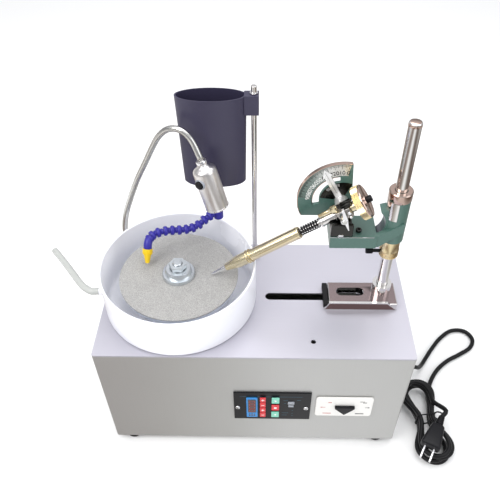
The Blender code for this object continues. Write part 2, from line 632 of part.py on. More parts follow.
# ---- mast and carriage --------------------------------------------------------------------
def make_mast():
    z = TABLE_TOP_Z + GAP
    base_axis = joint_at("base_slide_axis", (MAST_X, MAST_Y, 0))
    left, right = BASE_LEFT_X - MAST_X, BASE_RIGHT_X - MAST_X
    base = block("slide_base", (left, BASE_FRONT_Y + 0.001, z), (right, BASE_BACK_Y, TABLE_TOP_Z + BASE_HEIGHT),
                 CHROME, bevel=0.0012, parent=base_axis)
    slope = RAIL_HEIGHT - 0.001
    rail = prism("front_rail", [(left - PAD_WIDTH, z), (right, z),
                                (right - slope, TABLE_TOP_Z + RAIL_HEIGHT),
                                (left - PAD_WIDTH + 0.006, TABLE_TOP_Z + RAIL_HEIGHT)],
                 BASE_FRONT_Y, BASE_FRONT_Y + RAIL_THICKNESS, None, parent=base_axis)
    combine(base, rail, "UNION")
    boss = pin("mast_boss", BOSS_RADIUS, z + 0.001, BOSS_TOP_Z, None, steps=32, parent=base_axis)
    combine(base, boss, "UNION")
    seat = prism("clamp_slot", rounded(left + 0.010, left + 0.046, -0.0068, 0.0068, 0.0066),
                 TABLE_TOP_Z - 0.01, TABLE_TOP_Z + 0.05, None, along="Z", parent=base_axis)
    combine(base, seat)
    combine(base, pin("mast_bore", MAST_RADIUS + GAP, z + 0.002, BOSS_TOP_Z + 0.02, None, steps=32,
                      parent=base_axis))
    block("base_end_pad", (left - GAP - PAD_WIDTH, BASE_FRONT_Y + RAIL_THICKNESS + GAP, z),
          (left - GAP, BASE_BACK_Y + 0.001, TABLE_TOP_Z + 0.008), RUBBER, bevel=0.0006, parent=base_axis)
    turned("mast_post", [(0, z + 0.002 + GAP), (MAST_RADIUS, z + 0.002 + GAP), (MAST_RADIUS, MAST_TOP_Z - 0.0008),
                         (MAST_RADIUS - 0.0008, MAST_TOP_Z), (0, MAST_TOP_Z)],
           CHROME, steps=32, parent=base_axis)

    bore = MAST_RADIUS + RUN
    ring_top = COLLAR_BOTTOM_Z + 0.010
    carriage = joint_at("carriage_axis", (MAST_X, MAST_Y, 0))
    collar = turned("height_collar", [(bore, COLLAR_BOTTOM_Z), (COLLAR_RING_RADIUS - 0.001, COLLAR_BOTTOM_Z),
                                      (COLLAR_RING_RADIUS, COLLAR_BOTTOM_Z + 0.001), (COLLAR_RING_RADIUS, ring_top),
                                      (COLLAR_RADIUS, ring_top + 0.0008), (COLLAR_RADIUS, collar_top_z),
                                      (bore, collar_top_z)],
                    BRASS, steps=28, parent=carriage)
    screw_z = COLLAR_BOTTOM_Z + 0.005
    left_facing = (0, math.radians(-90), 0)
    combine(collar, pin("screw_hole", 0.0026, bore - 0.002, 0.03, None, steps=16, location=(0, 0, screw_z),
                        rotation=left_facing, parent=carriage))
    head = COLLAR_RING_RADIUS + SCREW_LENGTH
    turned("collar_thumbscrew", [(0, bore + 0.0006), (0.0022, bore + 0.0006), (0.0022, head - 0.009),
                                 (SCREW_RADIUS, head - 0.0085), (SCREW_RADIUS, head), (0, head)],
           BLACK, steps=18, location=(0, 0, screw_z), rotation=left_facing, parent=carriage)


def make_arm():
    swing = joint_at("arm_swing_axis", (MAST_X, MAST_Y, 0))
    left, bend = ARM_LEFT_X - MAST_X, ARM_BEND_X - MAST_X
    curve_at = (PIVOT_X + 0.0244 - MAST_X, PIVOT_Z - 0.0121)
    arm = block("arm_casting", (left, ARM_FRONT_Y, ARM_BOTTOM_Z), (bend + 0.003, ARM_BACK_Y, arm_top_z),
                GREEN, bevel=0.0008, parent=swing)
    web = prism("arm_web", arc(curve_at, ARM_CURVE_RADIUS, -62, 44, 14)
                + [(-0.006, curve_at[1] + 0.021), (-0.006, ARM_BOTTOM_Z + 0.0060),
                   (bend - 0.003, ARM_BOTTOM_Z + 0.0012)],
                -0.008, 0.008, None, parent=swing)
    combine(arm, web, "UNION")
    reach = SLEEVE_RADIUS - 0.0045
    rib = prism("arm_rib", [(bend - 0.001, ARM_BOTTOM_Z + 0.0011), (bend + 0.006, ARM_BOTTOM_Z + 0.0018),
                            (reach, ARM_BOTTOM_Z + 0.0245), (reach - 0.001, ARM_BOTTOM_Z + 0.0370),
                            (bend - 0.001, arm_top_z - 0.0009)],
                ARM_FRONT_Y + 0.0009, -0.0075, None, parent=swing)
    combine(arm, rib, "UNION")
    combine(arm, pin("arm_sleeve", SLEEVE_RADIUS, sleeve_bottom_z, SLEEVE_TOP_Z, None, steps=36,
                     parent=swing), "UNION")
    combine(arm, pin("sleeve_bore", MAST_RADIUS + RUN, sleeve_bottom_z - 0.05, SLEEVE_TOP_Z + 0.05, None,
                     steps=32, parent=swing))
    combine(arm, pin("collar_room", COLLAR_RADIUS + 0.004, sleeve_bottom_z - 0.05, sleeve_bottom_z, None,
                     steps=24, parent=swing))

    px, pz = PIVOT_X - MAST_X, PIVOT_Z
    block_right = BLOCK_RIGHT_X - MAST_X
    fork = block("head_block", (left, ARM_FRONT_Y + 0.001, block_z),
                 (block_right, QUADRANT_FRONT_Y - GAP, BLOCK_TOP_Z), BLACK_STEEL, bevel=0.0008, parent=swing)
    fork_half = SWING_HALF_DEPTH + 0.0007
    combine(fork, block("fork_slot", (left - 0.01, -fork_half, BLOCK_TOP_Z - FORK_DEPTH),
                        (block_right + 0.01, fork_half, BLOCK_TOP_Z + 0.01), None, parent=swing))

    ring = arc((px, pz), QUADRANT_RADIUS, 80, 180 + math.degrees(math.asin(QUADRANT_BOTTOM / QUADRANT_RADIUS)), 26)
    foot = [(px - 0.022, pz - QUADRANT_BOTTOM), (px - 0.011, pz - QUADRANT_BOTTOM), (px - 0.011, block_z),
            (px + 0.012, block_z), (px + 0.012, pz + 0.004)]
    quadrant = prism("quadrant", (ring + foot)[::-1], QUADRANT_FRONT_Y, QUADRANT_FRONT_Y + QUADRANT_THICKNESS,
                     GREEN, parent=swing)
    window = (arc((px, pz), QUADRANT_RING, 97, 192, 16) + arc((px, pz), QUADRANT_HUB, 192, 97, 14))
    combine(quadrant, prism("quadrant_window", window, QUADRANT_FRONT_Y - 0.01, QUADRANT_FRONT_Y + 0.02, None,
                            parent=swing))
    along_y = (math.radians(90), 0, 0)
    pivot = turned("pivot_pin", [(0, -QUADRANT_FRONT_Y - 0.0035), (PIN_RADIUS, -QUADRANT_FRONT_Y - 0.0035),
                                 (PIN_RADIUS, SWING_HALF_DEPTH), (0.0024, SWING_HALF_DEPTH),
                                 (0.0024, 0.0178), (0, 0.0178)],
                   None, steps=24, location=(px, 0, pz), rotation=along_y, parent=swing)
    combine(quadrant, pivot, "UNION")

    lever = joint_at("lock_lever_axis", (PIVOT_X, 0, PIVOT_Z))
    clamp = turned("lock_lever", [(0, 0.0198), (LEVER_HUB_RADIUS, 0.0192), (LEVER_HUB_RADIUS, SWING_HALF_DEPTH + GAP),
                                  (0.0028, SWING_HALF_DEPTH + GAP), (0.0028, 0.0182), (0, 0.0182)],
                   CHROME, steps=20, rotation=along_y, parent=lever)
    needle = prism("lever_needle", [(-0.0034, 0.0178), (-0.0024, 0.0180), (0.0036, 0.0040), (0.0066, -0.0124),
                                    (0.0056, -0.0126), (-0.0020, 0.0034)], -0.0190, -0.0165, None, parent=lever)
    combine(clamp, needle, "UNION")
    combine(clamp, pin("lever_bore", 0.0028, SWING_HALF_DEPTH - 0.01, 0.0182, None, steps=20,
                       rotation=along_y, parent=lever))


# ---- quill --------------------------------------------------------------------------------
def make_quill():
    facing = (0, -(math.radians(90) + quill_angle), 0)
    tilt = joint_at("angle_tilt_axis", (PIVOT_X, 0, PIVOT_Z), facing)
    pin_bore = PIN_RADIUS + RUN
    along_y = (math.radians(90), 0, 0)
    half = SWING_HALF
    swing = block("swing_block", (-half, -SWING_HALF_DEPTH, -half - 0.004), (half, SWING_HALF_DEPTH, half),
                  BLACK_STEEL, bevel=0.0006, parent=tilt)
    combine(swing, pin("housing", HOUSING_RADIUS, 0.002, HOUSING_END, None, steps=24, parent=tilt), "UNION")
    combine(swing, pin("swing_bore", pin_bore, -0.03, 0.03, None, steps=24, rotation=along_y, parent=tilt))
    shaft_bore = SHAFT_RADIUS + RUN
    combine(swing, pin("front_bore", shaft_bore, PIN_RADIUS + 0.0009, 0.05, None, steps=20, parent=tilt))

    hub = QUADRANT_FRONT_Y - GAP
    pointer = turned("angle_pointer", [(pin_bore, -hub), (0.008, -hub), (0.008, -SWING_HALF_DEPTH - GAP),
                                       (pin_bore, -SWING_HALF_DEPTH - GAP)],
                     WHITE, steps=24, rotation=along_y, parent=tilt)
    reach = QUADRANT_RADIUS - 0.001
    bar = [(0.0055, -0.0037), (reach - 0.011, -0.0037), (reach - 0.011, -0.0062), (reach, 0.0),
           (reach - 0.011, 0.0062), (reach - 0.011, 0.0037), (0.0055, 0.0037)]
    lean, rise = math.sin(POINTER_LEAN), math.cos(POINTER_LEAN)
    bar = [(a * rise + b * lean, b * rise - a * lean) for a, b in bar]
    combine(pointer, prism("pointer_bar", bar, hub - 0.002, hub - 0.0002, None, parent=tilt), "UNION")

    index = joint_at("index_axis", (PIVOT_X, 0, PIVOT_Z), facing)
    back = WHEEL_START - WHEEL_THICKNESS
    stub = -SWING_HALF - 0.004 - GAP
    turned("index_wheel", [(0, back), (WHEEL_RADIUS - 0.001, back), (WHEEL_RADIUS, back + 0.001),
                           (WHEEL_RADIUS, WHEEL_START - 0.001), (WHEEL_RADIUS - 0.001, WHEEL_START),
                           (0.0060, WHEEL_START), (0.0060, stub), (0, stub)],
           BRASS, steps=36, parent=index)
    knob_back = back - GAP
    turned("index_knob", [(0, knob_back - KNOB_LENGTH), (KNOB_RADIUS - 0.0006, knob_back - KNOB_LENGTH),
                          (KNOB_RADIUS, knob_back - KNOB_LENGTH + 0.0006), (KNOB_RADIUS, knob_back), (0, knob_back)],
           BLACK, steps=20, parent=index)
    shaft_start = PIN_RADIUS + 0.0013
    shaft_end = BARREL_START + 0.030
    pin("quill_shaft", SHAFT_RADIUS, shaft_start, shaft_end, CHROME, steps=20, parent=index)

    barrel = joint_at("barrel_axis", (PIVOT_X, 0, PIVOT_Z), facing)
    bore_end = shaft_end + BARREL_TRAVEL + GAP
    turned("quill_barrel", [(shaft_bore, BARREL_START), (BARREL_RADIUS - 0.0008, BARREL_START),
                            (BARREL_RADIUS, BARREL_START + 0.0008), (BARREL_RADIUS, BARREL_END - GAP),
                            (0, BARREL_END - GAP), (0, bore_end), (shaft_bore, bore_end)],
           BRASS, steps=32, parent=barrel)
    dop_bore = DOP_RADIUS + GAP
    turned("dop_chuck", [(0, BARREL_END), (BARREL_RADIUS + 0.0006, BARREL_END),
                         (BARREL_RADIUS + 0.0006, BARREL_END + 0.017), (CHUCK_NOSE_RADIUS + 0.0008, CHUCK_END - 0.007),
                         (CHUCK_NOSE_RADIUS, CHUCK_END), (dop_bore, CHUCK_END), (dop_bore, CHUCK_END - 0.015),
                         (0, CHUCK_END - 0.015)],
           BRASS, steps=32, parent=barrel)
    turned("dop_stick", [(0, CHUCK_END - 0.015 + GAP), (DOP_RADIUS, CHUCK_END - 0.015 + GAP),
                         (DOP_RADIUS, CHUCK_END + 0.006), (DOP_TIP_RADIUS, quill_length - 0.0018),
                         (0, quill_length - 0.0018)],
           CHROME, steps=20, parent=barrel)

    start, end = HOUSING_END + 0.0012, BARREL_START - 0.0012
    per_turn = 8
    steps = SPRING_TURNS * per_turn
    mean = SPRING_RADIUS - SPRING_WIRE
    coil = [Vector((math.cos(math.tau * i / per_turn) * mean, math.sin(math.tau * i / per_turn) * mean,
                    start + (end - start) * i / steps)) for i in range(steps + 1)]
    round_cord("quill_spring", coil, SPRING_WIRE, BLACK, sides=0, parent=barrel)


# ---- mains lead ---------------------------------------------------------------------------
def cord_route():
    """The lead's own points, from the relief's end to the hank's round end."""
    points = [(0.2336, 0.010, 0.0315), (0.2430, 0.0130, 0.0250), (0.2520, 0.0200, 0.0140),
              (0.2610, 0.0320, 0.0060), (0.2710, 0.0470, 0.0037), (0.2840, 0.0650, 0.0035),
              (0.3010, 0.0850, 0.0035), (0.3220, 0.1000, 0.0035), (0.3430, 0.0990, 0.0035),
              (0.3520, 0.0830, 0.0035), (0.3440, 0.0660, 0.0035), (0.3250, 0.0530, 0.0035),
              (0.3040, 0.0410, 0.0035), (0.2860, 0.0260, 0.0035), (0.2730, 0.0090, 0.0035),
              (0.2630, -0.0040, 0.0035)]
    start = Vector((half_width + 0.0003 + RELIEF_LENGTH + GAP, GLAND_Y, GLAND_Z))
    round_end = HANK_CENTRE - hank_heading() * (HANK_LENGTH - HANK_WIDTH) / 2
    arriving = Vector((math.cos(math.radians(52)), math.sin(math.radians(52)), 0))
    touch = round_end + arriving * (HANK_WIDTH / 2 + GAP) + Vector((0, 0, 0.0035))
    return [start] + [Vector(p) for p in points] + [touch + arriving * 0.004, touch]


def hank_heading():
    return Vector((math.cos(HANK_TURN), math.sin(HANK_TURN), 0))


def make_lead():
    right_facing = (0, math.radians(90), 0)
    turned("cable_gland", [(0, GAP), (0.0085, GAP), (0.0085, 0.0060), (0.0062, 0.0075),
                           (CORD_RADIUS + 0.0010, RELIEF_LENGTH), (0, RELIEF_LENGTH)],
           BLACK, steps=20, location=(half_width, GLAND_Y, GLAND_Z), rotation=right_facing)
    round_cord("power_cord", smooth_path(cord_route(), 40), CORD_RADIUS, RUBBER)
    half_run = (HANK_LENGTH - HANK_WIDTH) / 2
    radius = HANK_WIDTH / 2
    outline = arc((half_run, 0), radius, -90, 90, 12) + arc((-half_run, 0), radius, 90, 270, 12)
    prism("cord_hank", outline, GAP, HANK_HEIGHT, RUBBER, along="Z", location=HANK_CENTRE,
          rotation=(0, 0, HANK_TURN))
    plug_at = HANK_CENTRE + hank_heading() * 0.036 + Vector((-0.004, 0, HANK_HEIGHT + GAP))
    plug = block("plug", (-0.019, -0.0135, 0), (0.019, 0.0135, 0.015), BLACK, bevel=0.003)
    plug.location = plug_at + Vector((0, 0, 0.0075))
    plug.rotation_euler = (0, 0, HANK_TURN - math.radians(38))
    for side in (-1, 1):
        blade = block(f"plug_pin_{side + 1}", (0.010, -0.0012, -0.0030), (0.035, 0.0012, 0.0030), None)
        blade.parent = plug
        blade.location = (0.0265, side * 0.0062, 0)
        combine(plug, blade, "UNION")


make_case()
make_controls()
make_drive()
make_bowl()
round_cord("drain_hose", smooth_path(drain_route(), 30), SPIGOT_RADIUS, CLEAR)
make_lamp()
make_tank()
make_mast()
make_arm()
make_quill()
make_lead()

reach_front = front_y - GAP - SWITCH_THICKNESS - GAP - SELECTOR_HEIGHT
reach_left = LAP_X + math.cos(DRAIN_ANGLE) * (BOWL_RADIUS + SPIGOT_LENGTH)
frame_origin.location = (-(reach_left + half_width) / 2, -(reach_front + back_y) / 2, 0)
bpy.context.view_layer.update()
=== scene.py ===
"""Looks of the bench faceting machine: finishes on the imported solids, and the finer pieces round them.

Metres, +Z up.  Places are written about the middle of the case, as on the machine's drawing.
"""
import json
import math

import bmesh
import bpy
from mathutils import Matrix, Vector


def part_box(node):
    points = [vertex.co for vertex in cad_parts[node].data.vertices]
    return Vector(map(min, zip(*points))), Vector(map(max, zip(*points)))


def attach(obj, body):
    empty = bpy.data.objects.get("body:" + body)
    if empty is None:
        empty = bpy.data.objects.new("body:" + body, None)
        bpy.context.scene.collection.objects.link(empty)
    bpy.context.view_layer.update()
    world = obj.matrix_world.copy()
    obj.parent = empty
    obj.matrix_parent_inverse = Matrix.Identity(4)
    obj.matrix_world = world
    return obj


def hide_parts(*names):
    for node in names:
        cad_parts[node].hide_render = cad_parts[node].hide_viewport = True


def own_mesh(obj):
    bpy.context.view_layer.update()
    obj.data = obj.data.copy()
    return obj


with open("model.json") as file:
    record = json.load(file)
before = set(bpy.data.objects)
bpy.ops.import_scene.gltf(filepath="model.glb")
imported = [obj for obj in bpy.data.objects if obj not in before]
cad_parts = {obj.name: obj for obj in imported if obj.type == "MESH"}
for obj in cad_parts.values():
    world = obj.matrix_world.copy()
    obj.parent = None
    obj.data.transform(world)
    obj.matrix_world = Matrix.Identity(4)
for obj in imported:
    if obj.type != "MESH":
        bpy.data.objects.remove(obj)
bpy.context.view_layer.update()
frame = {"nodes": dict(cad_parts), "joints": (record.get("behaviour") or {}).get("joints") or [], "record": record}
scene = bpy.context.scene
record = frame["record"]
slot_of = {part["node"]: part["material_slot"] for part in record["subparts"]}
body_of_node = {n: body for body, members in record["behaviour"]["bodies"].items() for n in members}
joints = {joint["name"]: joint for joint in frame["joints"]}


def middle(node):
    low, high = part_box(node)
    return (low + high) / 2


case_middle = Vector((middle("top_plate").x, middle("top_plate").y, 0))
plate_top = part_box("top_plate")[1].z


def at(x, y, z):
    """A place on the drawing, about the middle of the case."""
    return case_middle + Vector((x, y, z))


pivot = Vector(joints["angle_tilt"]["pos_m"])
quill_axis = Vector(joints["index_turn"]["axis"]).normalized()
lap_axis = Vector(joints["lap_spin"]["pos_m"])


def frame_at(origin, z_axis, x_axis):
    """A matrix that puts local Z and X along two directions."""
    z_axis = Vector(z_axis).normalized()
    x_axis = Vector(x_axis)
    x_axis = (x_axis - z_axis * x_axis.dot(z_axis)).normalized()
    turned = Matrix((x_axis, z_axis.cross(x_axis), z_axis)).transposed().to_4x4()
    return Matrix.Translation(origin) @ turned


def spun(turns, axis="Z"):
    """A matrix that turns by a share of a full circle."""
    return Matrix.Rotation(math.tau * turns, 4, axis)


def moved(x, y, z):
    return Matrix.Translation((x, y, z))


quill_frame = frame_at(pivot, quill_axis, (-1, 0, 1))
lap_frame = Matrix.Translation(Vector((lap_axis.x, lap_axis.y, 0)))


def front_frame(y):
    """Local X to the right, Y up and Z towards the operator, on a plane of the case's front."""
    return frame_at(at(0, y, 0), (0, -1, 0), (1, 0, 0))


# ---- camera -------------------------------------------------------------------------------
LENS = 42.65
PITCH, YAW, ROLL = math.radians(44.33), math.radians(-1.83), math.radians(-0.87)


def make_camera():
    camera = bpy.data.objects.new("camera", bpy.data.cameras.new("camera"))
    scene.collection.objects.link(camera)
    camera.data.lens = LENS
    camera.data.sensor_width = 36.0
    forward = Vector((math.sin(YAW) * math.cos(PITCH), math.cos(YAW) * math.cos(PITCH), -math.sin(PITCH)))
    level = forward.cross(Vector((0, 0, 1))).normalized()
    rise = level.cross(forward)
    right = level * math.cos(ROLL) + rise * math.sin(ROLL)
    up = rise * math.cos(ROLL) - level * math.sin(ROLL)
    camera.matrix_world = (Matrix.Translation(at(0.01142, -0.51278, 0.78542))
                           @ Matrix((right, up, -forward)).transposed().to_4x4())
    scene.camera = camera


# ---- shader words -------------------------------------------------------------------------
class Link:
    """One output of a finish's nodes.  Arithmetic on it adds Math nodes."""

    def __init__(self, finish, socket):
        self.finish = finish
        self.socket = socket

    def math(self, operation, first, second):
        return self.finish.node("ShaderNodeMath", {"operation": operation}, {0: first, 1: second})

    def __add__(self, other):
        return self.math("ADD", self, other)

    def __sub__(self, other):
        return self.math("SUBTRACT", self, other)

    def __mul__(self, other):
        return self.math("MULTIPLY", self, other)

    def __rsub__(self, other):
        return self.math("SUBTRACT", other, self)

    def __gt__(self, other):
        return self.math("GREATER_THAN", self, other)

    def __pow__(self, other):
        return self.math("POWER", self, other)

    __radd__ = __add__
    __rmul__ = __mul__


class Finish:
    """A Principled material whose varying inputs are read from Object coordinates."""

    def __init__(self, name, colour, roughness, metallic=0.0, fixed=None):
        self.material = bpy.data.materials.new(name)
        self.material.use_nodes = True
        self.tree = self.material.node_tree
        self.shader = self.tree.nodes["Principled BSDF"]
        self.colour = colour
        self.roughness = roughness
        self.feed("Base Color", colour)
        self.feed("Roughness", roughness)
        self.feed("Metallic", metallic)
        for key, value in (fixed or {}).items():
            self.feed(key, value)

    def put(self, socket, value):
        if isinstance(value, Link):
            self.tree.links.new(value.socket, socket)
        elif socket.type == "RGBA" and len(value) == 3:
            socket.default_value = (*value, 1.0)
        else:
            socket.default_value = value

    def feed(self, key, value):
        self.put(self.shader.inputs[key], value)

    def node(self, kind, settings=None, inputs=None, output=0):
        made = self.tree.nodes.new(kind)
        for key, value in (settings or {}).items():
            if key == "stops":
                ramp = made.color_ramp
                for element, (place, colour) in zip(ramp.elements, (value[0], value[-1])):
                    element.position, element.color = place, (*colour, 1.0)
                for place, colour in value[1:-1]:
                    ramp.elements.new(place).color = (*colour, 1.0)
            else:
                setattr(made, key, value)
        for key, value in (inputs or {}).items():
            self.put(made.inputs[key], value)
        return Link(self, made.outputs[output])

    def coords(self, scale=(1, 1, 1)):
        own = self.node("ShaderNodeTexCoord", output="Object")
        return self.node("ShaderNodeMapping", inputs={"Vector": own, "Scale": scale})

    def noise(self, scale, detail=2.0, rough=0.5):
        """Noise with its own scale along X, Y and Z, in cycles a metre."""
        return self.node("ShaderNodeTexNoise", None,
                         {"Vector": self.coords(scale), "Scale": 1.0, "Detail": detail, "Roughness": rough})

    def cells(self, scale, output="Distance"):
        return self.node("ShaderNodeTexVoronoi", None, {"Vector": self.coords((scale,) * 3), "Scale": 1.0},
                         output)

    def along(self, direction, origin):
        """Distance along a direction from a point, in metres."""
        moved = self.node("ShaderNodeVectorMath", {"operation": "SUBTRACT"},
                          {0: self.coords(), 1: tuple(origin)})
        return self.node("ShaderNodeVectorMath", {"operation": "DOT_PRODUCT"},
                         {0: moved, 1: tuple(direction)}, "Value")

    def blend(self, factor, low, high):
        return self.node("ShaderNodeMix", {"data_type": "RGBA"}, {0: factor, 6: low, 7: high}, 2)

    def ramp(self, value, stops):
        return self.node("ShaderNodeValToRGB", {"stops": stops}, {"Fac": value})

    def bump(self, height, distance, strength=1.0):
        self.feed("Normal", self.node("ShaderNodeBump", None,
                                      {"Height": height, "Distance": distance, "Strength": strength},
                                      "Normal"))


def shade(colour, factor):
    return tuple(min(1.0, c * factor) for c in colour)


def grained(name, colour, roughness, metallic, grain, spread=0.06, depth=0.00002, fixed=None):
    """Metal with a brushed or turned grain and faint handling marks."""
    made = Finish(name, colour, roughness, metallic, fixed)
    lines = made.noise(grain, 3.0, 0.65)
    haze = made.noise((9, 9, 9), 3.0)
    tone = lines * 0.7 + haze * 0.3
    made.feed("Base Color", made.blend(tone, shade(colour, 1 - spread), shade(colour, 1 + spread)))
    made.feed("Roughness", roughness - 0.06 + lines * 0.08 + haze * 0.05)
    made.bump(lines, depth, 0.35)
    return made.material


def moulded(name, colour, roughness, pitch=2200.0, spread=0.08, depth=0.00004, fixed=None):
    """Plastic or rubber with a fine skin texture and uneven gloss."""
    made = Finish(name, colour, roughness, 0.0, fixed)
    skin = made.noise((pitch,) * 3, 2.0)
    haze = made.noise((14, 14, 14), 4.0)
    made.feed("Base Color", made.blend(haze * 0.6 + skin * 0.4, shade(colour, 1 - spread),
                                       shade(colour, 1 + spread)))
    made.feed("Roughness", roughness - 0.05 + haze * 0.10)
    made.bump(skin, depth, 0.3)
    return made.material


def polished(name, colour, roughness, fixed=None):
    """Plated or polished metal with faint smears."""
    made = Finish(name, colour, roughness, 1.0, fixed)
    smear = made.noise((28, 28, 60), 4.0, 0.6)
    fine = made.noise((700, 700, 700), 2.0)
    made.feed("Base Color", made.blend(smear, shade(colour, 0.94), shade(colour, 1.04)))
    made.feed("Roughness", roughness + smear * 0.06)
    made.bump(fine, 0.000006, 0.2)
    return made.material


def painted(name, colour, roughness):
    """Satin paint over a casting: a soft orange peel and slightly uneven colour."""
    made = Finish(name, colour, roughness, 0.0, {"Coat Weight": 0.35, "Coat Roughness": 0.22})
    peel = made.noise((520, 520, 520), 3.0, 0.55)
    cast = made.noise((70, 70, 70), 3.0)
    specks = made.cells(900.0) > 0.62
    tone = made.blend(peel * 0.45 + cast * 0.55, shade(colour, 0.86), shade(colour, 1.18))
    made.feed("Base Color", made.blend(specks * 0.25, tone, shade(colour, 1.6)))
    made.feed("Roughness", roughness - 0.04 + peel * 0.12)
    made.bump(peel * 0.6 + cast * 0.4, 0.00012, 0.35)
    return made.material


def grit(name, colour):
    """Diamond grit bonded on a steel disc: bright and dark grains in a grey bed."""
    made = Finish(name, colour, 0.62, 0.15)
    grain = made.cells(1700.0, "Color")
    value = made.node("ShaderNodeSeparateColor", None, {0: grain})
    clouds = made.noise((60, 60, 60), 3.0)
    tone = made.ramp(value * 0.8 + clouds * 0.2,
                     [(0.05, shade(colour, 0.62)), (0.35, shade(colour, 0.93)),
                      (0.72, shade(colour, 1.06)), (0.98, shade(colour, 1.55))])
    made.feed("Base Color", tone)
    made.feed("Roughness", 0.52 + value * 0.25)
    made.bump(value, 0.00012, 0.6)
    return made.material


def engraved(name):
    """The scale's plate: dark green-grey on its left, a painted highlight at the top, brownish at the right end.
    """
    made = Finish(name, (0.3, 0.3, 0.3), 0.26, 0.75)
    turned = made.along((0.8, 0.0, 0.6), pivot)
    cloud = made.noise((160, 160, 160), 3.0)
    # Tone by place along the band: the plate's own dark green-grey on the left, a painted highlight at the top,
    # brownish towards the right end.
    tone = made.ramp(turned * 10.0 + 0.46 + cloud * 0.10,
                     [(0.10, (0.10, 0.15, 0.13)), (0.42, (0.22, 0.27, 0.25)), (0.62, (0.72, 0.72, 0.70)),
                      (0.84, (0.62, 0.58, 0.50)), (0.98, (0.42, 0.33, 0.22))])
    made.feed("Base Color", tone)
    made.feed("Roughness", 0.20 + cloud * 0.14)
    made.bump(cloud, 0.00003, 0.4)
    return made.material


def glassy(name, colour, roughness, transmission, ior=1.42):
    made = Finish(name, colour, roughness, 0.0, {"Transmission Weight": transmission, "IOR": ior})
    haze = made.noise((120, 120, 120), 3.0)
    made.feed("Roughness", roughness + haze * 0.08)
    return made.material


def glowing(name, colour, strength):
    made = Finish(name, shade(colour, 0.3), 0.4, 0.0, {"Emission Strength": strength})
    flicker = made.noise((900, 900, 900), 1.0)
    made.feed("Emission Color", made.blend(flicker, shade(colour, 0.85), colour))
    return made.material


STEEL_GREY = (0.50, 0.50, 0.49)
DULL = {"Specular IOR Level": 0.22}
finishes = {
    "stainless_case": grained("case_steel", STEEL_GREY, 0.42, 0.60, (1500, 1500, 7), 0.07),
    "top_plate": grained("plate_satin", (0.52, 0.51, 0.57), 0.46, 0.55, (14, 1300, 14), 0.05),
    "rubber": moulded("black_rubber", (0.006, 0.006, 0.007), 0.42, 1500.0, fixed=DULL),
    "black_plastic": moulded("black_plastic", (0.007, 0.007, 0.009), 0.34, fixed=DULL),
    "motor_steel": polished("motor_paint", (0.05, 0.045, 0.04), 0.35),
    "circuit_board": moulded("board_green", (0.03, 0.20, 0.08), 0.4),
    "bezel_blue": moulded("bezel_blue", (0.028, 0.235, 0.60), 0.32),
    "key_red": moulded("key_red", (0.66, 0.035, 0.045), 0.42),
    "key_green": moulded("key_mint", (0.22, 0.60, 0.46), 0.42),
    "switch_white": moulded("switch_white", (0.82, 0.81, 0.78), 0.30, spread=0.03),
    "bowl_white": moulded("bowl_white", (0.88, 0.885, 0.93), 0.26, 900.0, 0.02, 0.00002),
    "clear_tube": glassy("clear_tube", (0.66, 0.68, 0.66), 0.22, 0.35),
    "chrome": polished("chrome", (0.80, 0.785, 0.77), 0.10),
    "zinc": grained("zinc_plate", (0.66, 0.70, 0.73), 0.28, 1.0, (260, 260, 260), 0.10),
    "platen_alloy": grained("platen_alloy", (0.62, 0.66, 0.72), 0.32, 1.0, (200, 200, 900), 0.06),
    "diamond_grit": grit("diamond_grit", (0.385, 0.38, 0.37)),
    "lens": glassy("lamp_glass", (0.93, 0.93, 0.90), 0.04, 0.95, 1.5),
    "tank_blue": moulded("tank_plastic", (0.040, 0.036, 0.072), 0.38, 500.0, 0.10, 0.00004),
    "hose_blue": moulded("hose_blue", (0.026, 0.020, 0.30), 0.38, 1500.0, 0.06),
    "nozzle_yellow": moulded("nozzle_yellow", (0.83, 0.56, 0.012), 0.36, 1500.0, 0.05),
    "brass": grained("brass", (0.82, 0.69, 0.43), 0.22, 1.0, (420, 420, 420), 0.07),
    "green_casting": painted("green_paint", (0.062, 0.135, 0.112), 0.34),
    "blued_steel": polished("blued_steel", (0.055, 0.055, 0.052), 0.20),
    "pointer_white": grained("pointer_satin", (0.86, 0.86, 0.86), 0.26, 0.6, (300, 300, 1500), 0.03),
    "spring_black": polished("spring_black", (0.035, 0.035, 0.038), 0.28),
}
DARK_MARK = moulded("mark_black", (0.008, 0.008, 0.008), 0.5)
WHITE_MARK = moulded("mark_white", (0.80, 0.80, 0.78), 0.5)
RED_MARK = moulded("mark_red", (0.55, 0.16, 0.15), 0.5)
BLUE_MARK = moulded("mark_blue", (0.035, 0.085, 0.12), 0.5)
GREY_PLASTIC = moulded("indicator_grey", (0.30, 0.32, 0.36), 0.35)
WINDOW = moulded("display_window", (0.010, 0.008, 0.020), 0.08, fixed={"Coat Weight": 1.0})
DIGIT = glowing("display_digit", (0.65, 0.05, 0.03), 0.35)
LED = glowing("lamp_led", (1.0, 0.86, 0.45), 0.6)
# Chrome whose copper-brown colour is a painted brownish reflection.
CHROME_PAINTED_COPPER_REFLECTION = polished("chrome_painted_copper_reflection", (0.56, 0.42, 0.36), 0.10)
# Chrome whose mauve colour is a painted reflection, for the slide base's top.
CHROME_PAINTED_MAUVE_REFLECTION = polished("chrome_painted_mauve_reflection", (0.34, 0.27, 0.27), 0.10)
